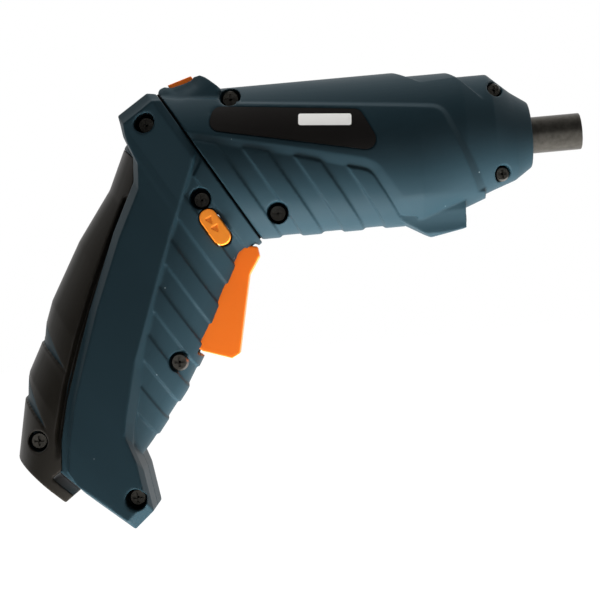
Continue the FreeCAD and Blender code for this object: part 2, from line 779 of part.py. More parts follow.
def label_form(name, grow, depth, height):
    """Return the part of the label's outline between two levels of the panel's skin, on the right side."""
    corners = [(x + grow * out_x, z + grow * out_z, dim.label_round) for x, z, out_x, out_z in LABEL_SIDE]
    side = prism(f"{name}_region", MODEL, corners, 0 - dim.reach, 0)
    start = (dim.rear_x, 0, barrel_centre)
    skin_radius = barrel_radius + dim.panel_rise
    skin = cylinder(f"{name}_skin", MODEL, start, "x", skin_radius + height, dim.barrel_x - dim.rear_x)
    core = cylinder(f"{name}_core", MODEL, start, "x", skin_radius - depth, dim.barrel_x - dim.rear_x)
    return cut(name, common(f"{name}_cap", side, skin), core)


label_depth = dim.label_thickness - dim.label_proud
label_recess = label_form("label_recess", dim.label_gap, label_depth, dim.panel_rise)
node("label_plate", label_form("label", 0 * dim.label_gap, label_depth, dim.label_proud))
head_solid = cut("head_solid", head_outside, head_cavity, nose_hole, bush_seat, neck_bore, release_pocket,
                 lamp_bore, label_recess)
head_right_half = common("head_right_half", head_solid, RIGHT_HALF)
head_left_half = common("head_left_half", head_solid, LEFT_HALF)
node("head_shell_right", cut("head_right", head_right_half, *head_screws[1], *nose_screws[1]))
node("head_shell_left", cut("head_left", head_left_half, *head_screws[2], *nose_screws[2]))

# Handle casing


def handle_form(name, stations, grow):
    """Return the handle's round form through ovals parallel with the swivel plane, grown by a size."""
    sections = []
    for station in stations:
        frame = FOOT if station in FOOT_STATIONS else SWIVEL
        rear, front, half = (dim.of(station, word) for word in ("rear", "front", "half"))
        oval = oval_section(f"{name}_{station}", (front - rear) / 2 + grow, half + grow)
        sections.append(frame.place(oval, (rear + front) / 2, 0, dim.of(station, "height")))
    return loft(name, sections)


def band_section(station):
    """Return one section of the side band: two flats joined by bevels."""
    left, right, half = (dim.of(station, word) for word in ("rear", "front", "half"))
    foot = half - dim.band_bevel_depth
    left_foot, right_foot = left - dim.band_left_bevel, right + dim.band_right_bevel
    corners = [(left, 0 - half), (right, 0 - half), (right_foot, 0 - foot), (right_foot, foot),
               (right, half), (left, half), (left_foot, foot), (left_foot, 0 - foot)]
    frame = FOOT if station in BAND_FOOT_STATIONS else SWIVEL
    return frame.place(outline(f"{station}_section", corners), 0, 0, dim.of(station, "height"))


handle_body = handle_form("handle_body", OUTER_STATIONS, 0)
handle_core = handle_form("handle_core", INNER_STATIONS, 0 - dim.grip_wall)
handle_room = handle_form("handle_room", INNER_STATIONS, 0 - dim.handle_wall)
grip_region = through("grip_region", SWIVEL, with_foot(GRIP_EDGE, GRIP_FOOT_EDGE))
side_band = loft("side_band", [band_section(station) for station in [*BAND_STATIONS, *BAND_FOOT_STATIONS]])
rib_region = through("rib_region", SWIVEL, with_foot(RIB_REGION, RIB_FOOT_REGION))
rib_skin = handle_form("rib_skin", INNER_STATIONS, dim.rib_height)
front_ribs = common("front_ribs", rib_slabs("front_rib", FRONT_RIBS, -1), rib_skin, rib_region)
front_skin = cut("front_skin", handle_body, grip_region)
handle_bottom = through("handle_bottom", FOOT, HANDLE_BOTTOM)
handle_mass = fuse("handle_mass", front_skin, handle_core, side_band, front_ribs)
handle_trimmed = cut("handle_trimmed", handle_mass, handle_bottom)
handle_outside = common("handle_outside", handle_trimmed, below_swivel("handle_side", 0 - HALF_GAP))

floor_low = (0 - dim.reach, 0 - dim.reach, CAVITY_FLOOR)
above_floor = box("above_floor", HANDLE, floor_low, (dim.reach, dim.reach, dim.reach))
cradles = []
cradle_heights = {place: dim.of(place, "cradle_up") for place in CRADLES}
cradle_heights["lower"] = CELL_BOTTOM + dim.lower_cradle_rise
for place, middle in cradle_heights.items():
    low = (0 - dim.reach, 0 - dim.reach, middle - dim.cradle_thickness / 2)
    high = (dim.cradle_front, dim.reach, middle + dim.cradle_thickness / 2)
    cradles.append(box(f"{place}_cradle", HANDLE, low, high))
handle_open = common("handle_open", handle_room, above_floor, below_swivel("handle_ceiling", 0 - WALL_LEVEL))
handle_cavity = cut("handle_cavity", handle_open, *handle_screws[0], *foot_screws[0], *cradles)

cell_bore = cylinder("cell_bore", HANDLE, (dim.cell_forward, 0, CAVITY_FLOOR), "z", dim.cell_radius + dim.seat_gap,
                     dim.cell_top - CAVITY_FLOOR)
switch_room = dim.switch_half + dim.seat_gap
switch_pocket = box("switch_pocket", HANDLE, (dim.switch_back, 0 - switch_room, dim.switch_bottom - dim.seat_gap),
                    (dim.trigger_back, switch_room, dim.switch_top + dim.seat_gap))
slot_half = dim.trigger_half + dim.trigger_gap
slot_back = dim.trigger_back - dim.trigger_gap * 2
trigger_slot = box("trigger_slot", HANDLE, (slot_back, 0 - slot_half, dim.trigger_slot_bottom),
                   (dim.reach, slot_half, dim.trigger_slot_top))
pin_spot = (dim.trigger_pin_forward, 0 - dim.trigger_pin_half, dim.trigger_pin_up)
pin_seat = cylinder("pin_seat", HANDLE, pin_spot, "y", dim.trigger_pin_radius, dim.trigger_pin_half * 2)


def direction_form(name, length, height, turn_round, low, high):
    """Return a bar across the handle at the direction button's place."""
    left, right = dim.direction_along - length / 2, dim.direction_along + length / 2
    down, up = dim.direction_down - height / 2, dim.direction_down + height / 2
    corners = [(left, down), (right, down), (right, up), (left, up)]
    return prism(name, SWIVEL, [(*corner, turn_round) for corner in corners], low, high)


hole_length = dim.direction_length + dim.direction_gap * 2
hole_height = dim.direction_height + dim.direction_gap * 2
hole_round = dim.direction_round + dim.direction_gap
direction_hole = direction_form("direction_hole", hole_length, hole_height, hole_round, 0 - dim.reach, dim.reach)
jack_top = CAVITY_FLOOR - dim.jack_top_gap
jack_low = (dim.jack_forward - dim.jack_half, 0 - dim.jack_half, jack_top - dim.jack_length)
jack_high = (dim.jack_forward + dim.jack_half, dim.jack_half, jack_top)
jack_room = dim.jack_half + dim.seat_gap
jack_pocket = box("jack_pocket", HANDLE, (dim.jack_forward - jack_room, 0 - jack_room, jack_low[2]),
                  (dim.jack_forward + jack_room, jack_room, CAVITY_FLOOR))
jack_mouth = cylinder("jack_mouth", HANDLE, (dim.jack_forward, 0, 0 - dim.reach), "z",
                      dim.jack_barrel_radius + dim.seat_gap, dim.reach + jack_top)
hub_seat = cylinder("hub_seat", SWIVEL, (0, 0, 0 - WALL_LEVEL), "z", dim.hub_radius + dim.seat_gap, WALL_LEVEL)
flange_room = dim.hub_flange + dim.seat_gap
flange_seat = cylinder("flange_seat", SWIVEL, (0, 0, 0 - WALL_LEVEL - flange_room), "z",
                       dim.hub_flange_radius + dim.seat_gap, flange_room)

handle_solid = cut("handle_solid", handle_outside, handle_cavity, cell_bore, switch_pocket, trigger_slot, pin_seat,
                   direction_hole, jack_pocket, jack_mouth, hub_seat, flange_seat)
handle_right_half = common("handle_right_half", handle_solid, RIGHT_HALF)
handle_left_half = common("handle_left_half", handle_solid, LEFT_HALF)
node("handle_shell_right", cut("handle_right", handle_right_half, *handle_screws[1], *foot_screws[1]))
node("handle_shell_left", cut("handle_left", handle_left_half, *handle_screws[2], *foot_screws[2]))

grip_block = common("grip_block", handle_body, grip_region)
grip_filling = cut("grip_filling", handle_core, handle_bottom)
grip_skin = cut("grip_skin", grip_block, grip_filling, side_band)
grip_right_half = common("grip_right_half", grip_skin, RIGHT_HALF)
grip_hole = cylinder("grip_hole", FOOT, (dim.grip_screw_along, 0 - dim.reach, dim.grip_screw_up), "y",
                     dim.screw_hole_radius, dim.reach)
node("rear_grip_right", cut("grip_right", grip_right_half, grip_hole))
node("rear_grip_left", common("grip_left", grip_skin, LEFT_HALF))

# Swivel hub and its lock

flange_low = WALL_LEVEL + dim.hub_play
hub_foot = 0 - WALL_LEVEL - dim.hub_flange
hub_length = flange_low + dim.hub_flange - hub_foot
hub_neck = cylinder("hub_neck", SWIVEL, (0, 0, hub_foot), "z", dim.hub_radius, hub_length)
hub_low = cylinder("hub_low", SWIVEL, (0, 0, hub_foot), "z", dim.hub_flange_radius, dim.hub_flange)
hub_high = cylinder("hub_high", SWIVEL, (0, 0, flange_low), "z", dim.hub_flange_radius, dim.hub_flange)
hub_bore = cylinder("hub_bore", SWIVEL, (0, 0, 0 - dim.reach), "z", dim.hub_bore, dim.reach * 2)
notch_in = dim.hub_flange_radius - dim.lock_notch_depth
notches = []
for place, ends in {"far": (notch_in, dim.reach), "near": (0 - dim.reach, 0 - notch_in)}.items():
    notch_low = (ends[0], 0 - dim.lock_notch_half, flange_low)
    notch_high = (ends[1], dim.lock_notch_half, flange_low + dim.hub_flange)
    notches.append(box(f"{place}_notch", SWIVEL, notch_low, notch_high))
node("swivel_hub", cut("hub", fuse("hub_mass", hub_neck, hub_low, hub_high), hub_bore, *notches))

slider_low = flange_low + dim.hub_flange + dim.hub_play
slider_high = slider_low + dim.slider_thickness
release_foot = dim.release_face_low + dim.release_depth
slider_start = (0, 0, slider_low)
slider_ring = cylinder("slider_ring", SWIVEL, slider_start, "z", dim.slider_ring_radius, dim.slider_thickness)
slider_bore = cylinder("slider_bore", SWIVEL, slider_start, "z", dim.slider_ring_bore, dim.slider_thickness)
slider_tongue = box("slider_tongue", SWIVEL, (release_foot, 0 - dim.slider_tongue_half, slider_low),
                    (0, dim.slider_tongue_half, slider_high))
tooth_in = dim.hub_flange_radius + dim.slider_clear
slider_arm = box("slider_arm", SWIVEL, (0, 0 - dim.slider_tooth_half, slider_low),
                 (tooth_in + dim.slider_tooth, dim.slider_tooth_half, slider_high))
slider_tooth = box("slider_tooth_block", SWIVEL, (tooth_in, 0 - dim.slider_tooth_half, flange_low),
                   (tooth_in + dim.slider_tooth, dim.slider_tooth_half, slider_high))
slider_plate = cut("slider_plate", fuse("slider_flat", slider_ring, slider_tongue, slider_arm), slider_bore)
node("lock_slider", fuse("slider", slider_plate, slider_tooth))

release_side = [
    (dim.release_face_low, dim.release_low),
    (dim.release_face_high, dim.release_high),
    (release_foot, dim.release_high),
    (release_foot, dim.release_low),
]
node("release_button", prism("release", SWIVEL, release_side, 0 - dim.release_half, dim.release_half))

# Trigger, switch and direction button

trigger_block = prism("trigger_block", HANDLE, TRIGGER_SIDE, 0 - dim.trigger_half, dim.trigger_half)
trigger_bore = cylinder("trigger_bore", HANDLE, pin_spot, "y", dim.trigger_pin_radius + dim.running_gap,
                        dim.trigger_pin_half * 2)
node("trigger", cut("trigger_body", trigger_block, trigger_bore))
node("trigger_pin", cylinder("pin", HANDLE, pin_spot, "y", dim.trigger_pin_radius, dim.trigger_pin_half * 2))
plunger_start = (dim.switch_front - dim.plunger_inside, 0, dim.plunger_up)
plunger_length = dim.trigger_back - dim.plunger_gap - dim.switch_front + dim.plunger_inside
node("switch_plunger", cylinder("plunger", HANDLE, plunger_start, "x", dim.plunger_radius, plunger_length))
switch_block = box("switch_block", HANDLE, (dim.switch_back, 0 - dim.switch_half, dim.switch_bottom),
                   (dim.switch_front, dim.switch_half, dim.switch_top))
plunger_hole = cylinder("plunger_hole", HANDLE, (dim.switch_back + dim.switch_wall, 0, dim.plunger_up), "x",
                        dim.plunger_radius + dim.running_gap, dim.switch_front - dim.switch_back)
node("trigger_switch", cut("switch_case", switch_block, plunger_hole))

direction_full = direction_form("direction_full", dim.direction_length, dim.direction_height, dim.direction_round,
                                dim.direction_right, dim.direction_left)
waist = direction_form("direction_waist", dim.reach, dim.reach, dim.direction_round,
                       dim.direction_right + dim.direction_end, dim.direction_left - dim.direction_end)
stem = direction_form("direction_stem", dim.direction_stem_length, dim.direction_stem_height,
                      dim.direction_stem_round, dim.direction_right + dim.direction_end,
                      dim.direction_left - dim.direction_end)
direction_ends = cut("direction_ends", direction_full, waist)
node("direction_button", fuse("direction", direction_ends, stem))

# Battery and charging

cell_foot = (dim.cell_forward, 0, CELL_BOTTOM)
node("battery_cell", cylinder("cell", HANDLE, cell_foot, "z", dim.cell_radius, dim.cell_length))
straps = []
for place, up in {"top": dim.cell_top, "bottom": CELL_BOTTOM - dim.strap_thickness}.items():
    low = (dim.cell_forward - dim.cell_radius, 0 - dim.strap_half, up)
    high = (dim.cell_forward + dim.cell_radius, dim.strap_half, up + dim.strap_thickness)
    straps.append(box(f"{place}_strap", HANDLE, low, high))
node("battery_straps", group("strap_pair", *straps))
node("charge_board", box("board", HANDLE, (dim.board_back, 0 - dim.board_half, CAVITY_FLOOR),
                         (dim.board_front, dim.board_half, CAVITY_FLOOR + dim.board_thickness)))
jack_case = box("jack_case", HANDLE, jack_low, jack_high)
jack_end = jack_low[2] - dim.jack_barrel_length
jack_start = (dim.jack_forward, 0, jack_end)
jack_nose = cylinder("jack_nose", HANDLE, jack_start, "z", dim.jack_barrel_radius, dim.jack_barrel_length)
jack_bore = cylinder("jack_bore", HANDLE, jack_start, "z", dim.jack_bore_radius, dim.jack_bore_depth)
jack_pin = cylinder("jack_pin", HANDLE, (dim.jack_forward, 0, jack_end + dim.jack_pin_sink), "z",
                    dim.jack_pin_radius, dim.jack_bore_depth)
jack_hollow = cut("jack_hollow", fuse("jack_mass", jack_case, jack_nose), jack_bore)
node("charge_jack", fuse("jack", jack_hollow, jack_pin))

# Lamp

lens_back_x = dim.lamp_bump_front_x - dim.lens_length + dim.lens_proud
lens_start = (lens_back_x, 0, dim.lamp_z)
node("lamp_lens", cylinder("lens", MODEL, lens_start, "x", dim.lamp_radius, dim.lens_length))
node("lamp_diode", cylinder("diode", MODEL, lamp_start, "x", dim.lamp_radius, dim.lamp_length))

# Bit holder and front bush


HEXAGON_SIDES = 6


def hexagon(name, width, rear_x, front_x):
    """Return a six-sided bar on the bit axis, with a corner pointing up."""
    corner_radius = width / 2 / cosine(as_size(180 / HEXAGON_SIDES))
    item = make("Part::Prism", name, Circumradius=corner_radius, Height=as_size(front_x) - rear_x)
    item.Polygon = HEXAGON_SIDES
    return MODEL.place(item, rear_x, 0, 0, "x")


socket_end_x = 0 - dim.socket_depth
magnet_back_x = socket_end_x - dim.magnet_length
collar_end_x = dim.nose_face_x + dim.collar_gap
collar = rod("collar", collar_end_x, 0, dim.collar_radius)
journal = rod("journal", dim.journal_end_x, collar_end_x, dim.journal_radius)
output_front_x = cover_back_x - dim.axial_gap
output_back_x = output_front_x - dim.carrier_plate
drive_half = dim.drive_width / 2
drive_end = box("drive_end", MODEL, (output_back_x, 0 - drive_half, 0 - drive_half),
                (dim.journal_end_x, drive_half, drive_half))
socket = hexagon("socket", dim.hex_width + dim.hex_clearance, socket_end_x, dim.reach)
magnet_seat = rod("magnet_seat", magnet_back_x, socket_end_x, dim.magnet_radius + dim.seat_gap)
mouth_cone = make("Part::Cone", "mouth_cone", Radius1=dim.collar_radius - dim.collar_chamfer * 3,
                  Radius2=dim.collar_radius - dim.collar_chamfer, Height=dim.collar_chamfer)
MODEL.place(mouth_cone, 0 - dim.collar_chamfer, 0, 0, "x")
spindle_mass = fuse("spindle_mass", collar, journal, drive_end)
node("bit_holder", cut("spindle", spindle_mass, socket, magnet_seat, mouth_cone))
node("bit_magnet", rod("magnet", magnet_back_x, socket_end_x, dim.magnet_radius))


def sleeve(name, rear_x, front_x, radius, bore):
    """Return a tube on the bit axis."""
    outside = rod(f"{name}_outside", rear_x, front_x, radius)
    return cut(name, outside, rod(f"{name}_bore", rear_x, front_x, bore))


journal_bore = dim.journal_radius + dim.running_gap
node("front_bush", sleeve("bush", bush_back_x, dim.bush_front_x, dim.bush_radius, journal_bore))
cover_disc = rod("cover_disc", cover_back_x, dim.cover_front_x, dim.gear_case_radius)
cover_hub = rod("cover_hub", dim.cover_front_x, dim.cover_front_x + dim.cover_hub_length, dim.cover_hub_radius)
cover_bore = rod("cover_bore", cover_back_x, dim.bush_front_x, journal_bore)
node("gearbox_cover", cut("cover", fuse("cover_mass", cover_disc, cover_hub), cover_bore))

# Gear train: two planet stages inside one ring

first_angle = 90
planet_step = 360 / SIZES["planet_count"]
pitch = math.pi * SIZES["gear_module"]


def tooth_ring(teeth, tip, root, half_tooth, phase):
    """Return the corner points of straight-flanked teeth, as (Y, Z) pairs, with one tooth centred on phase."""
    pitch_radius = teeth * SIZES["gear_module"] / 2
    slope = math.tan(math.radians(20))
    at_tip = (half_tooth - slope * (tip - pitch_radius)) / tip
    at_root = min((half_tooth + slope * (pitch_radius - root)) / root, 0.94 * math.pi / teeth)
    points = []
    for tooth in range(int(teeth)):
        middle = math.radians(phase) + 2 * math.pi * tooth / teeth
        for radius, turn in ((root, -at_root), (tip, -at_tip), (tip, at_tip), (root, at_root)):
            points.append((radius * math.cos(middle + turn), radius * math.sin(middle + turn)))
    return points


def toothed_bar(points, rear_x, front_x, across=0, up=0):
    """Return the bar along X whose end is the closed line through points."""
    wire = Part.makePolygon([Vector(rear_x, y + across, z + up) for y, z in points + points[:1]])
    return Part.Face(wire).extrude(Vector(front_x - rear_x, 0, 0))


def gear(name, teeth, phase, rear_x, front_x, across=0, up=0):
    """Return an outside gear as an object, with backlash and tip clearance."""
    module = SIZES["gear_module"]
    middle = teeth * module / 2
    tip = middle + module - SIZES["gear_tip_gap"]
    root = middle - module - SIZES["gear_tip_gap"]
    points = tooth_ring(teeth, tip, root, pitch / 4 - SIZES["gear_backlash"] / 2, phase)
    item = doc.addObject("Part::Feature", name)
    item.Shape = toothed_bar(points, rear_x.value, front_x.value, across, up)
    return item


def planet_phase(angle):
    """Return the phase that meshes a planet at an angle with a sun that has a tooth at 0."""
    past_tooth = angle * SIZES["sun_teeth"] / 360 % 1
    return angle + 180 - 360 / SIZES["planet_teeth"] * (0.5 - past_tooth)


orbit = (SIZES["sun_teeth"] + SIZES["planet_teeth"]) * SIZES["gear_module"] / 2
ring_middle = SIZES["ring_teeth"] * SIZES["gear_module"] / 2
past_planet_tooth = (first_angle - planet_phase(first_angle)) * SIZES["planet_teeth"] / 360 % 1
ring_phase = first_angle - past_planet_tooth * 360 / SIZES["ring_teeth"]
ring_space = tooth_ring(SIZES["ring_teeth"], ring_middle + SIZES["gear_module"] + SIZES["gear_tip_gap"],
                        ring_middle - SIZES["gear_module"] + SIZES["gear_tip_gap"],
                        pitch / 4 + SIZES["gear_backlash"] / 2, ring_phase)
ring_teeth = doc.addObject("Part::Feature", "ring_spaces")
ring_teeth.Shape = toothed_bar(ring_space, ring_back_x.value, cover_back_x.value)
node("ring_gear", cut("ring", rod("ring_blank", ring_back_x, cover_back_x, dim.gear_case_radius), ring_teeth))

first_front_x = output_back_x - dim.axial_gap * 2 - dim.gear_face
first_back_x = first_front_x - dim.carrier_plate
STAGES = {
    "output": (output_front_x, output_back_x),
    "first": (first_front_x, first_back_x),
}
pin_length = dim.carrier_plate + dim.axial_gap + dim.gear_face
for stage, (front_x, back_x) in STAGES.items():
    plate = rod(f"{stage}_plate", back_x, front_x, dim.carrier_radius)
    gear_front_x = back_x - dim.axial_gap
    gear_back_x = gear_front_x - dim.gear_face
    pins = []
    for index in range(SIZES["planet_count"]):
        angle = first_angle + planet_step * index
        across, up = orbit * math.cos(math.radians(angle)), orbit * math.sin(math.radians(angle))
        start = (gear_back_x, across, up)
        pins.append(cylinder(f"{stage}_pin_{index}", MODEL, start, "x", dim.planet_pin_radius, pin_length))
        blank = gear(f"{stage}_planet_blank_{index}", SIZES["planet_teeth"], planet_phase(angle), gear_back_x,
                     gear_front_x, across, up)
        bore = cylinder(f"{stage}_planet_bore_{index}", MODEL, start, "x", dim.planet_pin_radius + dim.running_gap,
                        dim.gear_face)
        node(f"{stage}_planet_{index + 1}", cut(f"{stage}_planet_gear_{index}", blank, bore))
    pin_group = node(f"{stage}_planet_pins", group(f"{stage}_pins", *pins))
    if stage == "output":
        keyway = box("drive_keyway", MODEL, (back_x, 0 - drive_half - dim.seat_gap, 0 - drive_half - dim.seat_gap),
                     (front_x, drive_half + dim.seat_gap, drive_half + dim.seat_gap))
        node("output_carrier", cut("output_plate_drilled", plate, pin_group, keyway))
    else:
        sun = gear("first_sun", SIZES["sun_teeth"], 0, front_x, output_back_x - dim.axial_gap)
        node("first_carrier", fuse("first_plate_with_sun", cut("first_plate_drilled", plate, pin_group), sun))

# Motor

node("motor_plate", sleeve("front_plate", motor_front_x, ring_back_x, dim.gear_case_radius,
                           dim.motor_boss_radius + dim.seat_gap))
can_inside = dim.motor_radius - dim.motor_wall
can_outside = rod("can_outside", motor_back_x, motor_front_x, dim.motor_radius)
can_boss = rod("can_boss", motor_front_x, ring_back_x, dim.motor_boss_radius)
can_inner = rod("can_inner", motor_back_x, motor_front_x - dim.motor_wall, can_inside)
shaft_gap = dim.shaft_radius + dim.running_gap
can_shaft_hole = rod("can_shaft_hole", motor_back_x, ring_back_x, shaft_gap)
node("motor_can", cut("can", fuse("can_mass", can_outside, can_boss), can_inner, can_shaft_hole))
node("motor_end_cap", sleeve("back_cap", motor_back_x - dim.end_cap, motor_back_x, dim.end_cap_radius, shaft_gap))
magnet_front_x = motor_front_x - dim.motor_wall - dim.winding_length
magnet_outside = can_inside - dim.seat_gap
magnet_tube = sleeve("magnet_tube", magnet_front_x - dim.magnet_ring_length, magnet_front_x, magnet_outside,
                     can_inside - dim.magnet_ring)
split_low = (magnet_front_x - dim.magnet_ring_length, 0 - dim.reach, 0 - dim.magnet_split_half)
magnet_split = box("magnet_split", MODEL, split_low, (magnet_front_x, dim.reach, dim.magnet_split_half))
node("motor_magnets", cut("magnet_pair", magnet_tube, magnet_split))

armature_front_x = magnet_front_x - dim.winding_length
armature_back_x = armature_front_x - dim.armature_length
armature_blank = rod("armature_blank", armature_back_x, armature_front_x, dim.armature_radius)
slots = []
for index in range(SIZES["armature_slots"]):
    slot = make("Part::Box", f"armature_slot_{index}", Length=dim.armature_length, Width=dim.armature_slot_half * 2,
                Height=dim.armature_radius / 2)
    turn = 360 * index / SIZES["armature_slots"]
    lift = f"vector(0; 0 - {dim.armature_slot_half.text}; {(dim.armature_radius * 0.6).text})"
    around = f"placement(vector({armature_back_x.text}; 0; 0); rotation(vector(1; 0; 0); {turn}))"
    slot.setExpression("Placement", f"{around} * placement({lift}; rotation(vector(1; 0; 0); 0))")
    slots.append(slot)
shaft_back_x = motor_back_x - dim.end_cap - dim.axial_gap
pinion_front_x = first_back_x - dim.axial_gap
pinion_back_x = pinion_front_x - dim.gear_face - dim.axial_gap
shaft_core = rod("shaft_core", shaft_back_x, pinion_front_x, dim.shaft_radius)
node("motor_shaft", shaft_core)
node("armature", cut("armature_core", armature_blank, *slots, rod("armature_bore", armature_back_x, armature_front_x,
                                                                 dim.shaft_radius)))
windings = []
for place, rear_x in {"front": armature_front_x, "back": armature_back_x - dim.winding_length}.items():
    front_x = rear_x + dim.winding_length
    windings.append(sleeve(f"{place}_winding", rear_x, front_x, dim.winding_radius, dim.shaft_radius))
node("rotor_windings", group("winding_pair", *windings))
commutator_front_x = armature_back_x - dim.winding_length - dim.axial_gap
node("commutator", sleeve("commutator_ring", commutator_front_x - dim.commutator_length, commutator_front_x,
                          dim.commutator_radius, dim.shaft_radius))
pinion_blank = gear("pinion_blank", SIZES["sun_teeth"], 0, pinion_back_x, pinion_front_x)
node("motor_pinion", cut("pinion", pinion_blank, rod("pinion_bore", pinion_back_x, pinion_front_x, dim.shaft_radius)))

# Build, check and write

doc.recompute()
broken = [item.Name for item in doc.Objects if "Invalid" in item.State or "Error" in item.State]
if broken:
    raise RuntimeError(f"objects that failed to build: {broken}")
os.makedirs("parts", exist_ok=True)
for label, item in NODES.items():
    shape = item.Shape
    if shape.isNull() or not shape.isValid() or not shape.Solids:
        raise RuntimeError(f"{label} is not a valid solid")
    shape.exportStep(os.path.join("parts", f"{label}.step"))
print(len(NODES), "sub-parts written")
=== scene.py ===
# %% [markdown]
# # A swivel-head cordless screwdriver
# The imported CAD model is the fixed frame: every solid is already at its real size and place, in metres, with
# +X along the bit. This script only dresses it. Each visible solid is copied, its hard CAD edges are softened
# the way a moulding's are, and it gets a finish made of nodes.

import json
import math

import bmesh
import bpy
import numpy as np
from mathutils import Matrix, Vector


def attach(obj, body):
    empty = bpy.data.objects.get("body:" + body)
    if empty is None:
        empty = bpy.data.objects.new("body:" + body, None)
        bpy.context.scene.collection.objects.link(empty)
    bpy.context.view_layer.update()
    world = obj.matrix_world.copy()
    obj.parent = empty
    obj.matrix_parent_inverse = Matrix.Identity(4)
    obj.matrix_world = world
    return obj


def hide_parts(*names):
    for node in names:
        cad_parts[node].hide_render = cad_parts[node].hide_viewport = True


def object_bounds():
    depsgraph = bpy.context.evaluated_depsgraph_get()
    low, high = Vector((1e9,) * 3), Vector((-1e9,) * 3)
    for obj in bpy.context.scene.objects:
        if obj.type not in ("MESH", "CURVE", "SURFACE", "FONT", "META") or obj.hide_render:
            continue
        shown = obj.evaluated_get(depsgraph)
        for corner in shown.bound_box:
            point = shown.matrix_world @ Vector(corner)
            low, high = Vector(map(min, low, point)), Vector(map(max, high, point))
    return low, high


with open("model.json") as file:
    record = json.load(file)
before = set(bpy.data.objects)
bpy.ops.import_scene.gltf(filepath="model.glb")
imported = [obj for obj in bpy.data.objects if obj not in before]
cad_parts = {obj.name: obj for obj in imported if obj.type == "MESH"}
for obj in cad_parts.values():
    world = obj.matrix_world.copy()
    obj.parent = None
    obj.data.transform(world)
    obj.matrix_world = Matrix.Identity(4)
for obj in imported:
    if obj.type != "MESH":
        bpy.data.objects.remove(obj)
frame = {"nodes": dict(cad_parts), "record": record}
cad_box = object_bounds()
nodes = frame["nodes"]
record = frame["record"]
members_of = record["behaviour"]["bodies"]
body_of = {node: body for body, members in members_of.items() for node in members}
slot_of = {entry["node"]: entry["material_slot"] for entry in record["subparts"]}
MM = 0.001
# The swivel plane: a point on it, the axis that the head turns about and the direction down the plane
SWIVEL_PIVOT = Vector((-112.3, 0, -1.3))
SWIVEL_AXIS = Vector((0.861629, 0, 0.507538))
DOWN_PLANE = Vector((0.507538, 0, -0.861629))

# %% [markdown]
# ## Camera
# The photograph looks squarely at the tool's right side from about half a metre, so the near screws stand a
# little further out than the outline, and the camera is rolled by a few degrees. The view centre is the model
# point in the middle of the picture, and the lens follows from the width that the picture shows there.

# %% Camera
VIEW_CENTRE = Vector((-89.0, 0, -43.3)) * MM
VIEW_DISTANCE = 520 * MM
VIEW_WIDTH = 181.8 * MM
ROLL = math.radians(5.2)
SENSOR_WIDTH = 36
NEAR_LIMIT = 0.01

across = Vector((math.cos(ROLL), 0, -math.sin(ROLL)))
ahead = Vector((0, 1, 0))
up = across.cross(ahead)
lens = bpy.data.cameras.new("photo_camera")
lens.sensor_width = SENSOR_WIDTH
lens.lens = SENSOR_WIDTH * VIEW_DISTANCE / VIEW_WIDTH
lens.clip_start = NEAR_LIMIT
camera = bpy.data.objects.new("photo_camera", lens)
bpy.context.collection.objects.link(camera)
turn = Matrix((across, up, -ahead)).transposed().to_4x4()
camera.matrix_world = Matrix.Translation(VIEW_CENTRE - ahead * VIEW_DISTANCE) @ turn
bpy.context.scene.camera = camera
bpy.context.scene.view_settings.view_transform = "Standard"
print("lens", round(lens.lens, 1), "mm")

# %% [markdown]
# ## Light
# In the photograph everything round the tool is white, and its undersides are the brightest. So one lamp
# lies on the floor under the tool, a broader and less bright one hangs above it, and the room is dim apart
# from the bit's side. The lamps are kept out of reflections, where they would show as white squares, and the
# camera sees white all round.

# %% Node helpers
WHITE = (1, 1, 1, 1)


def calculate(tree, operation, *values):
    """Return the output of a Math node whose inputs are numbers or sockets."""
    made = tree.nodes.new("ShaderNodeMath")
    made.operation = operation
    for slot, value in enumerate(values):
        if isinstance(value, (int, float)):
            made.inputs[slot].default_value = value
        else:
            tree.links.new(value, made.inputs[slot])
    return made.outputs[0]


def ramp(tree, value, start, end, low, high):
    """Return a socket that goes from low to high while a value goes from start to end."""
    made = tree.nodes.new("ShaderNodeMapRange")
    for name, number in (("From Min", start), ("From Max", end), ("To Min", low), ("To Max", high)):
        made.inputs[name].default_value = number
    tree.links.new(value, made.inputs["Value"])
    return made.outputs["Result"]


def seen_directly(tree):
    """Return a socket that is 1 for rays from the camera, a reflection or glass, and 0 for light rays."""
    path = tree.nodes.new("ShaderNodeLightPath")
    seen = calculate(tree, "MAXIMUM", path.outputs["Is Camera Ray"], path.outputs["Is Glossy Ray"])
    return calculate(tree, "MAXIMUM", seen, path.outputs["Is Transmission Ray"])


# %% Surround
DIM_SIDE_LIGHT = 0.1
BRIGHT_SIDE_LIGHT = 1.0
FRONT_SHINE = 0.08
SHINE_EDGE = 0.35

world = bpy.data.worlds.new("white_surround")
bpy.context.scene.world = world
world.use_nodes = True
sky = world.node_tree
background = sky.nodes["Background"]
background.inputs["Color"].default_value = WHITE
direction = sky.nodes.new("ShaderNodeTexCoord")
split = sky.nodes.new("ShaderNodeSeparateXYZ")
sky.links.new(direction.outputs["Generated"], split.inputs[0])
seen = seen_directly(sky)
shine = ramp(sky, split.outputs["Y"], -SHINE_EDGE, SHINE_EDGE, FRONT_SHINE, 1)
room = ramp(sky, split.outputs["X"], 0, 1, DIM_SIDE_LIGHT, BRIGHT_SIDE_LIGHT)
reflected = calculate(sky, "MULTIPLY", shine, seen)
room_light = calculate(sky, "MULTIPLY", calculate(sky, "SUBTRACT", 1, seen), room)
indirect = calculate(sky, "ADD", reflected, room_light)
path = sky.nodes.new("ShaderNodeLightPath")
level = calculate(sky, "MAXIMUM", indirect, path.outputs["Is Camera Ray"])
sky.links.new(level, background.inputs["Strength"])
print("surround of", len(sky.nodes), "nodes")

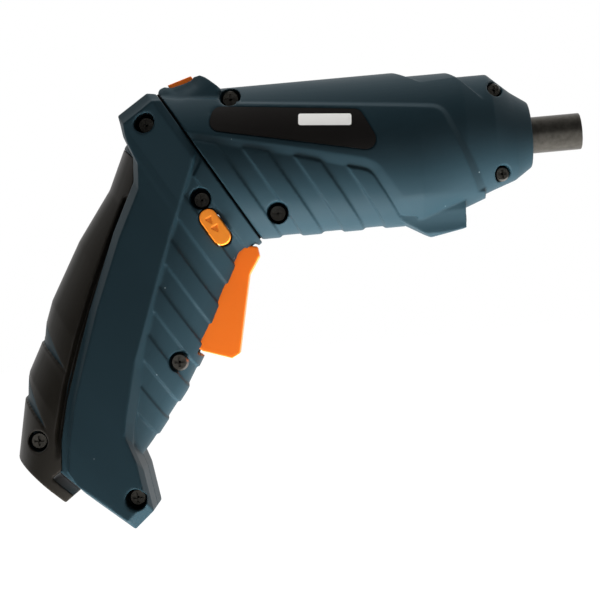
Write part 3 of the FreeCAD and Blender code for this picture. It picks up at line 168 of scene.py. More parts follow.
# %% Lamps
FLOOR_GAP = 60 * MM
FLOOR_LEVEL = cad_box[0][2] - FLOOR_GAP
UPWARD = Vector((0, 0, 1))
TABLE_WIDTH, TABLE_DEPTH = 0.40, 0.18
TABLE_MIDDLE, TABLE_FRONT, TABLE_RISE = -0.14, -0.05, 4 * MM
TABLE_RADIANCE, TABLE_SPREAD = 8, 80
TOP_PLACE, TOP_SIZE = (-0.09, 0.15, 0.6), 0.8
TOP_RADIANCE, TOP_SPREAD = 4.2, 180


def soft_lamp(name, place, facing, width, depth, radiance, spread):
    """Add a rectangular lamp that neither the camera nor a reflection sees."""
    light = bpy.data.lights.new(name, "AREA")
    light.shape = "RECTANGLE"
    light.size = width
    light.size_y = depth
    light.energy = radiance * math.pi * width * depth
    light.spread = math.radians(spread)
    lamp = bpy.data.objects.new(name, light)
    lamp.location = place
    lamp.rotation_euler = facing.to_track_quat("-Z", "Y").to_euler()
    lamp.visible_camera = False
    lamp.visible_glossy = False
    bpy.context.collection.objects.link(lamp)
    print(name, round(light.energy, 2), "W, turned", [round(angle, 3) for angle in lamp.rotation_euler])


table_place = (TABLE_MIDDLE, TABLE_FRONT + TABLE_DEPTH / 2, FLOOR_LEVEL + TABLE_RISE)
soft_lamp("table_lamp", table_place, UPWARD, TABLE_WIDTH, TABLE_DEPTH, TABLE_RADIANCE, TABLE_SPREAD)
soft_lamp("top_lamp", TOP_PLACE, -UPWARD, TOP_SIZE, TOP_SIZE, TOP_RADIANCE, TOP_SPREAD)

# %% [markdown]
# ## Finishes
# Moulded plastic is never one flat colour: a fine spark-eroded grain breaks up its shine, the tone drifts a
# little over the part, and a few specks of dust sit on it. A painted image could show that, but it needs a UV
# map on every piece. Noise on Object coordinates needs none, so one shader node group makes all three, and
# each material uses it with its own values.

# %% Moulded grain group
SPECK_SCALE = 420
SPECK_REACH = 0.09
# Turns the random colour of a speck's cell into another random number, which picks the cells with a speck
SPECK_SHUFFLE = 7.31
DRIFT_DETAIL, GRAIN_DETAIL = 4, 2


def socket(tree, name, kind, side, value=None):
    """Add a named input or output to a node tree."""
    made = tree.interface.new_socket(name=name, in_out=side, socket_type=kind)
    if value is not None:
        made.default_value = value


def make_grain_group():
    """Return a group that gives a drifting, specked colour, a broken roughness and a fine grain height."""
    group = bpy.data.node_groups.new("moulded_grain", "ShaderNodeTree")
    for name in ("Colour", "Shade", "Speck Colour"):
        socket(group, name, "NodeSocketColor", "INPUT", WHITE)
    for name, value in (("Speck Share", 0.0), ("Roughness", 0.5), ("Roughness Spread", 0.08),
                        ("Grain Scale", 3000), ("Drift Scale", 60)):
        socket(group, name, "NodeSocketFloat", "INPUT", value)
    socket(group, "Colour", "NodeSocketColor", "OUTPUT")
    socket(group, "Roughness", "NodeSocketFloat", "OUTPUT")
    socket(group, "Height", "NodeSocketFloat", "OUTPUT")
    new, link = group.nodes.new, group.links.new
    given, result = new("NodeGroupInput"), new("NodeGroupOutput")
    place = new("ShaderNodeTexCoord")
    drift, grain, dust = new("ShaderNodeTexNoise"), new("ShaderNodeTexNoise"), new("ShaderNodeTexVoronoi")
    drift.inputs["Detail"].default_value = DRIFT_DETAIL
    grain.inputs["Detail"].default_value = GRAIN_DETAIL
    dust.inputs["Scale"].default_value = SPECK_SCALE
    for texture in (drift, grain, dust):
        link(place.outputs["Object"], texture.inputs["Vector"])
    link(given.outputs["Drift Scale"], drift.inputs["Scale"])
    link(given.outputs["Grain Scale"], grain.inputs["Scale"])
    tone, specked = new("ShaderNodeMix"), new("ShaderNodeMix")
    tone.data_type = specked.data_type = "RGBA"
    link(drift.outputs["Fac"], tone.inputs["Factor"])
    link(given.outputs["Shade"], tone.inputs["A"])
    link(given.outputs["Colour"], tone.inputs["B"])
    shuffled = calculate(group, "MULTIPLY", dust.outputs["Color"], SPECK_SHUFFLE)
    chance = calculate(group, "FRACT", shuffled)
    chosen = calculate(group, "LESS_THAN", chance, given.outputs["Speck Share"])
    near = calculate(group, "LESS_THAN", dust.outputs["Distance"], SPECK_REACH)
    link(calculate(group, "MULTIPLY", chosen, near), specked.inputs["Factor"])
    link(tone.outputs["Result"], specked.inputs["A"])
    link(given.outputs["Speck Colour"], specked.inputs["B"])
    centred = calculate(group, "SUBTRACT", drift.outputs["Fac"], 0.5)
    spread, middle = given.outputs["Roughness Spread"], given.outputs["Roughness"]
    link(specked.outputs["Result"], result.inputs["Colour"])
    link(calculate(group, "MULTIPLY_ADD", centred, spread, middle), result.inputs["Roughness"])
    link(grain.outputs["Fac"], result.inputs["Height"])
    return group


grain_group = make_grain_group()
print("grain group of", len(grain_group.nodes), "nodes")

# %% Materials
SPECK_COLOUR = (0.13, 0.16, 0.17)
GRAIN_SCALE = 3500
GRAIN_RISE = 0.2 * MM
ROUGHNESS_SPREAD = 0.1


def finish(name, colour, shade, roughness, grain_depth=0.03, metallic=0.0, specular=0.5, specks=0.0, drift=60,
           clear=0.0):
    """Return a material of one colour that drifts toward a shade, with fine grain."""
    material = bpy.data.materials.new(name)
    material.use_nodes = True
    tree = material.node_tree
    shader = tree.nodes["Principled BSDF"]
    grain = tree.nodes.new("ShaderNodeGroup")
    grain.node_tree = grain_group
    values = {"Colour": (*colour, 1), "Shade": (*shade, 1), "Speck Colour": (*SPECK_COLOUR, 1),
              "Speck Share": specks, "Roughness": roughness, "Roughness Spread": ROUGHNESS_SPREAD,
              "Grain Scale": GRAIN_SCALE, "Drift Scale": drift}
    for input_name, value in values.items():
        grain.inputs[input_name].default_value = value
    bump = tree.nodes.new("ShaderNodeBump")
    bump.inputs["Strength"].default_value = grain_depth
    bump.inputs["Distance"].default_value = GRAIN_RISE
    tree.links.new(grain.outputs["Colour"], shader.inputs["Base Color"])
    tree.links.new(grain.outputs["Roughness"], shader.inputs["Roughness"])
    tree.links.new(grain.outputs["Height"], bump.inputs["Height"])
    tree.links.new(bump.outputs["Normal"], shader.inputs["Normal"])
    shader.inputs["Metallic"].default_value = metallic
    shader.inputs["Specular IOR Level"].default_value = specular
    shader.inputs["Transmission Weight"].default_value = clear
    return material


# Each finish: colour, the shade that it drifts toward and roughness
FINISHES = {
    "casing": finish("blue_green_casing", (0.0092, 0.0234, 0.0310), (0.0080, 0.0204, 0.0270), 0.5,
                     grain_depth=0.10, specular=0.14, specks=0.02),
    "grip": finish("black_grip", (0.0145, 0.0124, 0.0094), (0.0102, 0.0087, 0.0066), 0.42,
                   grain_depth=0.08, specular=0.2, specks=0.008),
    "orange": finish("orange_plastic", (0.84, 0.175, 0.0150), (0.80, 0.155, 0.0125), 0.4,
                     grain_depth=0.06, specular=0.2),
    "bright_orange": finish("bright_orange", (1.0, 0.30, 0.030), (0.98, 0.28, 0.027), 0.4,
                            grain_depth=0.06, specular=0.2),
    "black_plastic": finish("black_gloss", (0.010, 0.009, 0.008), (0.007, 0.006, 0.006), 0.4,
                            grain_depth=0.02, specular=0.12, specks=0.008),
    # Painted shade: a near-black, matt finish for the disc in the swivel gap, where there would be only shadow
    "painted_gap_shade": finish("painted_gap_shade", (0.004, 0.004, 0.004), (0.002, 0.002, 0.002), 0.9, specular=0.0),
    "white_plastic": finish("white_plastic", (0.9, 0.89, 0.86), (0.86, 0.85, 0.82), 0.4),
    "clear_plastic": finish("clear_lens", (0.9, 0.92, 0.9), (0.86, 0.88, 0.86), 0.08,
                            grain_depth=0.0, clear=0.85),
    "dark_steel": finish("black_steel", (0.110, 0.103, 0.090), (0.030, 0.027, 0.022), 0.38,
                         grain_depth=0.15, metallic=0.8, drift=700),
    "steel": finish("bright_steel", (0.55, 0.55, 0.56), (0.46, 0.46, 0.47), 0.3, metallic=1.0),
    "bronze": finish("sintered_bronze", (0.55, 0.34, 0.14), (0.45, 0.27, 0.1), 0.4, metallic=1.0),
    "magnet": finish("dull_ferrite", (0.05, 0.05, 0.055), (0.03, 0.03, 0.034), 0.6, metallic=0.3),
    "copper": finish("enamelled_copper", (0.62, 0.24, 0.09), (0.5, 0.17, 0.06), 0.3, metallic=1.0),
    "board": finish("green_board", (0.02, 0.12, 0.05), (0.014, 0.09, 0.04), 0.35),
    "cell": finish("blue_sleeve", (0.03, 0.09, 0.3), (0.02, 0.07, 0.24), 0.25),
}
# Finishes that are variants of a slot of the record
for name, node in nodes.items():
    node.data.materials.clear()
    node.data.materials.append(FINISHES[slot_of[name]])
print(len(FINISHES), "finishes")

# %% [markdown]
# ## Moulded shells
# A moulding has no knife edge. Rounding thousands of CAD edges one by one is fragile, and so is a Bevel on
# loose triangles. So each shell is rebuilt on a fine voxel grid instead, which rounds every edge by about a
# voxel, and is then smoothed a little. Decimate takes away the faces that flat walls don't need.

# %% Softening
JOIN_DISTANCE = 0.002 * MM
SMOOTH_FACTOR = 0.5


def place_mesh(name, mesh):
    """Return a new object in the scene that shows a mesh."""
    piece = bpy.data.objects.new(name, mesh)
    bpy.context.collection.objects.link(piece)
    return piece


def plain_mesh(source, name):
    """Return the evaluated shape of an object as a new object with no modifiers."""
    graph = bpy.context.evaluated_depsgraph_get()
    mesh = bpy.data.meshes.new_from_object(source.evaluated_get(graph), depsgraph=graph)
    mesh.name = name
    bpy.data.objects.remove(source)
    return place_mesh(name, mesh)


def joined_copy(node, name):
    """Return a copy of a CAD solid whose loose triangles are joined."""
    mesh = nodes[node].data.copy()
    work = bmesh.new()
    work.from_mesh(mesh)
    bmesh.ops.remove_doubles(work, verts=work.verts, dist=JOIN_DISTANCE)
    work.to_mesh(mesh)
    work.free()
    return place_mesh(name, mesh)


def regridded(piece, voxel, passes, most=0):
    """Return the piece rebuilt on a voxel grid, smoothed, and thinned to at most so many triangles."""
    grid = piece.modifiers.new("grid", "REMESH")
    grid.mode = "VOXEL"
    grid.voxel_size = voxel
    grid.use_smooth_shade = True
    if passes:
        smooth = piece.modifiers.new("smooth", "SMOOTH")
        smooth.factor = SMOOTH_FACTOR
        smooth.iterations = passes
    made = plain_mesh(piece, piece.name)
    triangles = 2 * len(made.data.polygons)
    if most and triangles > most:
        thin = made.modifiers.new("thin", "DECIMATE")
        thin.ratio = most / triangles
        made = plain_mesh(made, made.name)
    return made


# %% Points and settling


def spots_of(piece):
    """Return the x, y and z of every point of a piece, in millimetres."""
    spots = np.empty(len(piece.data.vertices) * 3)
    piece.data.vertices.foreach_get("co", spots)
    return spots.reshape(-1, 3).T / MM


def put_spots(piece, x, y, z):
    """Move every point of a piece to places in millimetres."""
    piece.data.vertices.foreach_set("co", (np.column_stack((x, y, z)) * MM).ravel())


def settle(piece, body, slot, *replaced):
    """Give a finished piece its material, its body and the CAD solids that it stands for."""
    piece.data.materials.clear()
    piece.data.materials.append(FINISHES[slot])
    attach(piece, body)
    if replaced:
        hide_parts(*replaced)
    print(piece.name, len(piece.data.polygons), "faces")


# %% [markdown]
# ## Sloped panel
# The raised panel on the head doesn't end in a wall but in a slope, narrow along its top edge and wide along
# its lower one. In CAD that is hard to lay over a barrel, so it is pressed into the mesh here: each point of
# the panel's skin is let down to a height that grows with its distance from the panel's outline.

# %% Panel outline
# Corners of the panel's two long edges, and of the solid's lower one: place, radius of the bend and width of
# the slope there
PANEL_TOP_EDGE = [(-135, 21.1, 0, 1.6), (-42.3, 10.4, 6, 1.8), (-24.9, -30, 0, 2.6)]
PANEL_LOW_EDGE = [(-135, 10.2, 0, 2.5), (-87.1, -1.5, 0, 2.6), (-65.2, -7.8, 5, 3.4), (-54.5, -26, 0, 4.8)]
CAD_LOW_EDGE = [(-135, 12.2, 0, 1), (-85, 0, 0, 1), (-57, -6, 8, 1), (-49, -30, 0, 1)]
BEND_STEPS = 8


def rounded_run(corners):
    """Return points (place, slope width) along an edge with its corners bent to their radii."""
    run = [(*corners[0][:2], corners[0][3])]
    for before, corner, after in zip(corners, corners[1:], corners[2:]):
        here, radius, width = np.array(corner[:2]), corner[2], corner[3]
        back, forth = (np.array(other[:2]) - here for other in (before, after))
        back, forth = back / np.hypot(*back), forth / np.hypot(*forth)
        half_turn = math.acos(back @ forth) / 2
        reach = radius / math.tan(half_turn)
        inward = (back + forth) / np.hypot(*(back + forth))
        centre = here + inward * radius / math.sin(half_turn)
        first, last = here + back * reach - centre, here + forth * reach - centre
        for share in np.linspace(0, 1, BEND_STEPS if radius else 1):
            spoke = first * (1 - share) + last * share
            if radius:
                spoke *= radius / np.hypot(*spoke)
            run.append((*(centre + spoke), width))
    run.append((*corners[-1][:2], corners[-1][3]))
    return run


def edge_places(points, run, inward):
    """Return how far inside a run of edge each point lies, and the width that the run has there."""
    nearest, inside, width = (np.full(len(points), np.inf) for _ in range(3))
    for (x0, z0, w0), (x1, z1, w1) in zip(run, run[1:]):
        start, along = np.array((x0, z0)), np.array((x1 - x0, z1 - z0))
        share = np.clip(((points - start) @ along) / (along @ along), 0, 1)
        offset = points - start - share[:, None] * along
        distance = np.hypot(offset[:, 0], offset[:, 1])
        side = np.sign(inward * (along[0] * offset[:, 1] - along[1] * offset[:, 0]))
        nearer = distance < nearest
        nearest = np.where(nearer, distance, nearest)
        inside = np.where(nearer, side * distance, inside)
        width = np.where(nearer, w0 + (w1 - w0) * share, width)
    return inside, width


# %% Panel slope
# Sections of the head's barrel: place along the bit, top and bottom
HEAD_CIRCLES = np.array([(-145, 22.5, -23.3), (-50, 22.5, -23.3), (-36, 22.5, -18.7), (-27.2, 19.4, -15.4),
                         (-20.6, 13.5, -13.1), (-15.6, 10.1, -9.7)])
PANEL_RISE = 1.2
PANEL_WALL = 0.6
# The panel has no top edge behind the upper screw, where it runs up into the release hump
TOP_EDGE_STARTS = -103.5
# The skin runs from a little below the barrel's surface to a little above the panel's
SKIN_BELOW, PANEL_ABOVE = 0.25, 0.3
# Along the top edge only points that stand above the barrel are let down
TOP_EDGE_ABOVE = 0.03
# Half width and top of the lamp bump, which the slope leaves alone
LAMP_HALF, LAMP_TOP = 10.6, -16
# Keeps the division sound at the barrel's axis
LEAST_REACH = 1


def slope_panel(piece):
    """Bring the panel's skin to its sloped height along its edges."""
    x, y, z = spots_of(piece)
    centre = np.interp(x, HEAD_CIRCLES[:, 0], HEAD_CIRCLES[:, 1:].sum(axis=1) / 2)
    radius = np.interp(x, HEAD_CIRCLES[:, 0], (HEAD_CIRCLES[:, 1] - HEAD_CIRCLES[:, 2]) / 2)
    reach = np.hypot(y, z - centre)
    points = np.column_stack((x, z))
    top_inside, top_width = edge_places(points, rounded_run(PANEL_TOP_EDGE), -1)
    low_inside, low_width = edge_places(points, rounded_run(PANEL_LOW_EDGE), 1)
    cad_inside, _ = edge_places(points, rounded_run(CAD_LOW_EDGE), 1)
    top_height = np.clip(top_inside / top_width, 0, 1) * PANEL_RISE
    low_height = np.clip(low_inside / low_width, 0, 1) * PANEL_RISE
    on_skin = (reach > radius - SKIN_BELOW) & (reach < radius + PANEL_RISE + PANEL_ABOVE)
    clear_of_lamp = (np.abs(y) > LAMP_HALF) | (z > LAMP_TOP)
    has_top_edge = x > TOP_EDGE_STARTS
    from_top = has_top_edge & (top_inside > -PANEL_WALL) & (top_height < PANEL_RISE) & (low_inside > 0)
    to_fill = (low_height < PANEL_RISE) | (cad_inside < PANEL_WALL)
    from_low = (low_inside > 0) & to_fill & ((top_inside > 0) | ~has_top_edge)
    high_enough = reach > radius + np.where(from_low, -SKIN_BELOW, TOP_EDGE_ABOVE)
    chosen = on_skin & clear_of_lamp & (from_top | from_low) & high_enough
    height = np.where(from_top, top_height, PANEL_RISE)
    height = np.minimum(height, np.where(from_low, low_height, PANEL_RISE))
    share = np.where(chosen, (radius + height) / np.maximum(reach, LEAST_REACH), 1)
    put_spots(piece, x, y * share, centre + (z - centre) * share)
    print("slope on", int(chosen.sum()), "points")


# %% [markdown]
# ## Soft forms
# The hump behind the panel dips where the thumb reaches the release button, the lamp bump draws in toward its
# underside, and the rear block is rounded toward its sides. A sculptor would push such forms with a brush.
# Here a smooth sink along a known direction does it, which leaves the walls behind them whole.

# %% Thumb dip
# Distances from the swivel plane and how deep the hump dips there
DIP_ALONG = [0.9, 2.9, 4.6, 8.3, 10.7, 12.0, 14.5, 16.5]
DIP_DEPTH = [0, 0.35, 1.55, 2.05, 2.0, 1.3, 0.5, 0]
# Heights up along the plane where the dip starts and where it is full
DIP_FROM, DIP_FULL = -19, -26
# Box of the corner that is blended: x, distance from the middle and z
BLEND_LOW, BLEND_HIGH = (-128, 8, 13), (-105.5, 21, 22)
# Distance from the swivel plane that stays sharp
BLEND_GAP = 1.5
BLEND_PASSES = 30


def smooth_step(share):
    """Return a share that starts and ends gently between 0 and 1."""
    share = np.clip(share, 0, 1)
    return share * share * (3 - 2 * share)


def swivel_places(x, z):
    """Return how far points are above the swivel plane and how far down along it."""
    from_x, from_z = x - SWIVEL_PIVOT.x, z - SWIVEL_PIVOT.z
    above = from_x * SWIVEL_AXIS.x + from_z * SWIVEL_AXIS.z
    return above, from_x * DOWN_PLANE.x + from_z * DOWN_PLANE.z


def dip_hump(piece, depth=None):
    """Let the release hump, or the button in it, down toward its top."""
    x, y, z = spots_of(piece)
    above_gap, down = swivel_places(x, z)
    if depth is None:
        depth = np.interp(above_gap, DIP_ALONG, DIP_DEPTH)
    sink = depth * smooth_step((down - DIP_FROM) / (DIP_FULL - DIP_FROM))
    put_spots(piece, x + sink * DOWN_PLANE.x, y, z + sink * DOWN_PLANE.z)


def blend_hump(piece):
    """Smooth the corner between the hump and the panel, away from the swivel gap."""
    x, y, z = spots_of(piece)
    above_gap, _ = swivel_places(x, z)
    chosen = above_gap > BLEND_GAP
    for value, low, high in zip((x, np.abs(y), z), BLEND_LOW, BLEND_HIGH):
        chosen &= (value > low) & (value < high)
    work = bmesh.new()
    work.from_mesh(piece.data)
    points = [vertex for vertex in work.verts if chosen[vertex.index]]
    axes = {"use_axis_x": True, "use_axis_y": True, "use_axis_z": True}
    for _ in range(BLEND_PASSES):
        bmesh.ops.smooth_vert(work, verts=points, factor=SMOOTH_FACTOR, **axes)
    work.to_mesh(piece.data)
    work.free()


# %% Lamp bump and rear block
# Corners of the bump's side, as x and z
BUMP_LOW, BUMP_HIGH = (-62, -27), (-34, -15.5)
# Half width that stays, share of the rest that is drawn in, and length of the fade at the rear
BUMP_CORE, BUMP_DRAFT, BUMP_FADE = 4.6, 0.75, 9
# Height of the block's top up along the plane, depth of the fade below it, sink at its sides and half width
BLOCK_TOP, BLOCK_FADE, BLOCK_SINK, BLOCK_HALF = -27.1, 7, 1.6, 21


def taper_lamp_bump(piece):
    """Draw the sides of the lamp bump in toward its underside, as a mould needs."""
    x, y, z = spots_of(piece)
    on_bump = (x > BUMP_LOW[0]) & (x < BUMP_HIGH[0]) & (z < BUMP_HIGH[1]) & (np.abs(y) > BUMP_CORE)
    down = smooth_step((BUMP_HIGH[1] - z) / (BUMP_HIGH[1] - BUMP_LOW[1]))
    share = np.where(on_bump, down * smooth_step((x - BUMP_LOW[0]) / BUMP_FADE), 0)
    drawn = BUMP_CORE + (np.abs(y) - BUMP_CORE) * (1 - BUMP_DRAFT * share)
    put_spots(piece, x, np.where(on_bump, np.sign(y) * drawn, y), z)


def round_block(piece):
    """Let the rear block's top down toward both sides."""
    x, y, z = spots_of(piece)
    _, down = swivel_places(x, z)
    near_top = smooth_step((BLOCK_TOP + BLOCK_FADE - down) / BLOCK_FADE)
    sink = BLOCK_SINK * near_top * np.clip(np.abs(y) / BLOCK_HALF, 0, 1) ** 2
    put_spots(piece, x + sink * DOWN_PLANE.x, y, z + sink * DOWN_PLANE.z)


# %% [markdown]
# ## Grip relief
# The rear grip is a softer, black moulding. It falls away into a groove beside the handle's band, and two
# wedges are let into its back, where the blue-green casing shows between its scales. Boolean cuts would leave
# sharp walls there, so the skin is sunk instead. The wedges are thin patches laid over the sunk places.

# %% Wedge outlines
# Each wedge runs to a point between an upper and a lower edge: upper start, lower start, point
WEDGES = (((-165.1, -44.0), (-167.3, -49.0), (-159.4, -58.6)),
          ((-171.8, -59.9), (-173.7, -65.3), (-166.5, -75.5)))
LEAST_SPAN = 0.01


def below_line(x, z, start, end):
    """Return how far points lie below a line that runs to the right."""
    along = np.array(end) - start
    return ((z - start[1]) * along[0] - (x - start[0]) * along[1]) / -np.hypot(*along)


def wedge_share(x, z, wedge, margin):
    """Return how far points are down a wedge, from 0 at its upper edge to 1 at its lower, or -1 outside."""
    upper, lower, point = wedge
    under = below_line(x, z, upper, point)
    over = -below_line(x, z, lower, point)
    inside = (under > 0) & (over > margin) & (x < point[0])
    return np.where(inside, under / np.maximum(under + over, LEAST_SPAN), -1)


# %% Groove and wedges in the grip
GROOVE_LINE = [(-137.4, -9.3), (-143.5, -22), (-149.6, -35.7), (-155, -49.4), (-159.4, -62.3),
               (-162.8, -75.7), (-163.9, -83.5)]
GROOVE_WIDTH, GROOVE_DEPTH = 1.7, 2.6
# Height where the groove ends and length of its fade
GROOVE_ENDS, GROOVE_FADE = -84, 9
# The groove stops this far from the seam between the halves
SEAM_CLEAR = 1
WEDGE_DEPTH = 0.9
WEDGE_MARGIN = 0.3
WEDGE_PROUD = 0.06
# A patch takes only skin that faces out to the side or the back by this much
OUTWARD_LEAN = 0.1


def normals_of(piece):
    """Return the x, y and z of every point's normal."""
    turned = np.empty(len(piece.data.vertices) * 3)
    piece.data.vertex_normals.foreach_get("vector", turned)
    return turned.reshape(-1, 3).T


def shape_grip(piece):
    """Sink the groove and the wedges into the grip."""
    x, y, z = spots_of(piece)
    run = [(*spot, GROOVE_WIDTH) for spot in GROOVE_LINE]
    away, width = edge_places(np.column_stack((x, z)), run, 1)
    fade = smooth_step((z - GROOVE_ENDS) / GROOVE_FADE)
    sink = GROOVE_DEPTH * fade * smooth_step(1 - np.abs(away) / width)
    y = np.sign(y) * np.maximum(np.abs(y) - sink, np.minimum(np.abs(y), SEAM_CLEAR))
    depth = sum(np.maximum(wedge_share(x, z, wedge, 0), 0) for wedge in WEDGES) * WEDGE_DEPTH
    out_x, out_y, out_z = normals_of(piece)
    put_spots(piece, x - out_x * depth, y - out_y * depth, z - out_z * depth)


def wedge_patch(piece, name):
    """Return the grip's skin inside the wedges as a patch that lies just above it."""
    x, y, z = spots_of(piece)
    out_x, out_y, out_z = normals_of(piece)
    inside = sum(wedge_share(x, z, wedge, WEDGE_MARGIN) >= 0 for wedge in WEDGES) > 0
    keep = inside & (out_y * np.sign(y) - out_x > OUTWARD_LEAN)
    patch = place_mesh(name, piece.data.copy())
    put_spots(patch, x + out_x * WEDGE_PROUD, y + out_y * WEDGE_PROUD, z + out_z * WEDGE_PROUD)
    work = bmesh.new()
    work.from_mesh(patch.data)
    spare = [vertex for vertex in work.verts if not keep[vertex.index]]
    bmesh.ops.delete(work, geom=spare, context="VERTS")
    work.to_mesh(patch.data)
    work.free()
    return patch


# %% [markdown]
# ## Shells, grips and buttons
# Every moulded piece goes the same way: a joined copy of the solid is put on the grid, shaped, put on the
# grid again to even out its faces, and settled on its body. The trigger, the release button and the steel bit
# holder are small, so their grid is finer.

# %% Shells
SHELL_VOXEL = 0.3 * MM
SHELL_PASSES = 2
SHELL_LIMIT = 190000
HEAD_SHAPES = (slope_panel, dip_hump, blend_hump, taper_lamp_bump)

for node in ("head_shell_right", "head_shell_left", "handle_shell_right", "handle_shell_left"):
    piece = regridded(joined_copy(node, f"moulded_{node}"), SHELL_VOXEL, 0)
    shapes = HEAD_SHAPES if node.startswith("head") else [round_block]
    for shape in shapes:
        shape(piece)
    piece = regridded(piece, SHELL_VOXEL, SHELL_PASSES, SHELL_LIMIT)
    settle(piece, body_of[node], "casing", node)

# %% Grips
for node in ("rear_grip_right", "rear_grip_left"):
    piece = regridded(joined_copy(node, f"moulded_{node}"), SHELL_VOXEL, 0)
    shape_grip(piece)
    piece = regridded(piece, SHELL_VOXEL, SHELL_PASSES)
    patch = wedge_patch(piece, node.replace("rear_grip", "grip_wedges"))
    settle(patch, body_of[node], "casing")
    settle(piece, body_of[node], "grip", node)

# %% Trigger, release button and bit holder
SMALL_VOXEL = 0.2 * MM
PLASTIC_PASSES = 6
STEEL_PASSES = 10
BUTTON_DIP = 1.75

for node in ("trigger", "release_button"):
    piece = regridded(joined_copy(node, f"moulded_{node}"), SMALL_VOXEL, PLASTIC_PASSES)
    if node == "release_button":
        dip_hump(piece, BUTTON_DIP)
    settle(piece, body_of[node], "orange", node)
holder = regridded(joined_copy("bit_holder", "bit_holder_turned"), SMALL_VOXEL, STEEL_PASSES)
settle(holder, body_of["bit_holder"], "dark_steel", "bit_holder")

# %% [markdown]
# ## Direction button
# The pill-shaped button has two small sunk arrows on each end, one behind the other along its length. They
# could be a bump in its finish, but then they'd be lost on the mesh. A Boolean cut makes them sharp, and the
# voxel grid then softens them with the rest of the button.

# %% Mesh helpers


def mesh_piece(name, points, faces):
    """Return a new object from points in millimetres and faces, with its faces turned outward."""
    mesh = bpy.data.meshes.new(name)
    mesh.from_pydata([tuple(Vector(point) * MM) for point in points], [], faces)
    work = bmesh.new()
    work.from_mesh(mesh)
    bmesh.ops.recalc_face_normals(work, faces=work.faces)
    work.to_mesh(mesh)
    work.free()
    return place_mesh(name, mesh)


def prism_faces(first, count):
    """Return the faces of a prism between two rings of points, one ring numbered after the other."""
    near = list(range(first, first + count))
    far = [point + count for point in near]
    sides = [(here, after, after + count, here + count) for here, after in zip(near, near[1:] + near[:1])]
    return [tuple(near), tuple(far), *sides]


# %% Direction button
BUTTON_CENTRE = Vector((-111.9, 0, -19.75))
BUTTON_ENDS = (-18.8, 16.0)
BUTTON_VOXEL = 0.15 * MM
BUTTON_PASSES = 5
ARROW_PLACES = (-2.2, 0.8)
ARROW_LENGTH = 2.3
ARROW_HALF = 1.15
ARROW_DEPTH = 0.45

arrow_points, arrow_faces = [], []
for end, outward in zip(BUTTON_ENDS, (-1, 1)):
    for place in ARROW_PLACES:
        tail, tip = place - ARROW_LENGTH / 2, place + ARROW_LENGTH / 2
        outline = ((tip, 0), (tail, ARROW_HALF), (tail, -ARROW_HALF))
        arrow_faces += prism_faces(len(arrow_points), len(outline))
        for level in (end - outward * ARROW_DEPTH, end + outward):
            for along, aside in outline:
                spot = BUTTON_CENTRE + DOWN_PLANE * along + SWIVEL_AXIS * aside
                arrow_points.append((spot.x, level, spot.z))
arrows = mesh_piece("arrow_cutter", arrow_points, arrow_faces)
button = joined_copy("direction_button", "moulded_direction_button")
cut = button.modifiers.new("cut", "BOOLEAN")
cut.operation = "DIFFERENCE"
cut.object = arrows
button = plain_mesh(button, button.name)
bpy.data.objects.remove(arrows)
button = regridded(button, BUTTON_VOXEL, BUTTON_PASSES)
settle(button, body_of["direction_button"], "bright_orange", "direction_button")

# %% [markdown]
# ## Label field
# The label on the right side is a bare black plate with one pale rounded field. The field could be painted by
# the plate's material, but a thin patch bent round the barrel has a clean edge. Its rows follow the round
# corners, and it lies level in the picture, so it is turned by the camera's roll.

# %% Label field
LABEL_SKIN = 24.3
LABEL_AXIS_HEIGHT = -0.4
FIELD_CENTRE = (-77.1, 8.2)
FIELD_HALF = (7.7, 1.75)
FIELD_ROUND = 0.6
FIELD_PROUD = 0.04
FIELD_COLUMNS = 24
FIELD_ROWS = [-1, -0.94, -0.82, -0.66, -0.33, 0, 0.33, 0.66, 0.82, 0.94, 1]

field_points, field_faces = [], []
slant = Vector((math.cos(ROLL), -math.sin(ROLL)))
for row in FIELD_ROWS:
    rise = row * FIELD_HALF[1]
    over = max(0, abs(rise) - FIELD_HALF[1] + FIELD_ROUND)
    reach = FIELD_HALF[0] - FIELD_ROUND + math.sqrt(max(0, FIELD_ROUND ** 2 - over ** 2))
    for column in range(FIELD_COLUMNS + 1):
        run = reach * (2 * column / FIELD_COLUMNS - 1)
        x = FIELD_CENTRE[0] + run * slant.x - rise * slant.y
        z = FIELD_CENTRE[1] + run * slant.y + rise * slant.x
        y = -math.sqrt((LABEL_SKIN + FIELD_PROUD) ** 2 - (z - LABEL_AXIS_HEIGHT) ** 2)
        field_points.append((x, y, z))
width = FIELD_COLUMNS + 1
for row in range(len(FIELD_ROWS) - 1):
    for column in range(FIELD_COLUMNS):
        corner = row * width + column
        field_faces.append((corner, corner + 1, corner + width + 1, corner + width))
field = mesh_piece("label_field", field_points, field_faces)
if field.data.polygons[0].normal.y > 0:
    field.data.flip_normals()
settle(field, body_of["label_plate"], "white_plastic")

# %% [markdown]
# ## Swivel disc
# The head turns on the handle with a narrow gap between them, which shows as a dark line. A near-black disc in
# the gap is painted shade: it stands for the dark of the gap and keeps light from showing through. The rim
# isn't a circle, so the disc takes its outline from the handle's own rim, drawn in a little.

# %% Swivel disc
DISC_HALF = 0.28
DISC_SHARE = 0.95
RIM_LEVEL = -0.3
RIM_TOLERANCE = 0.05

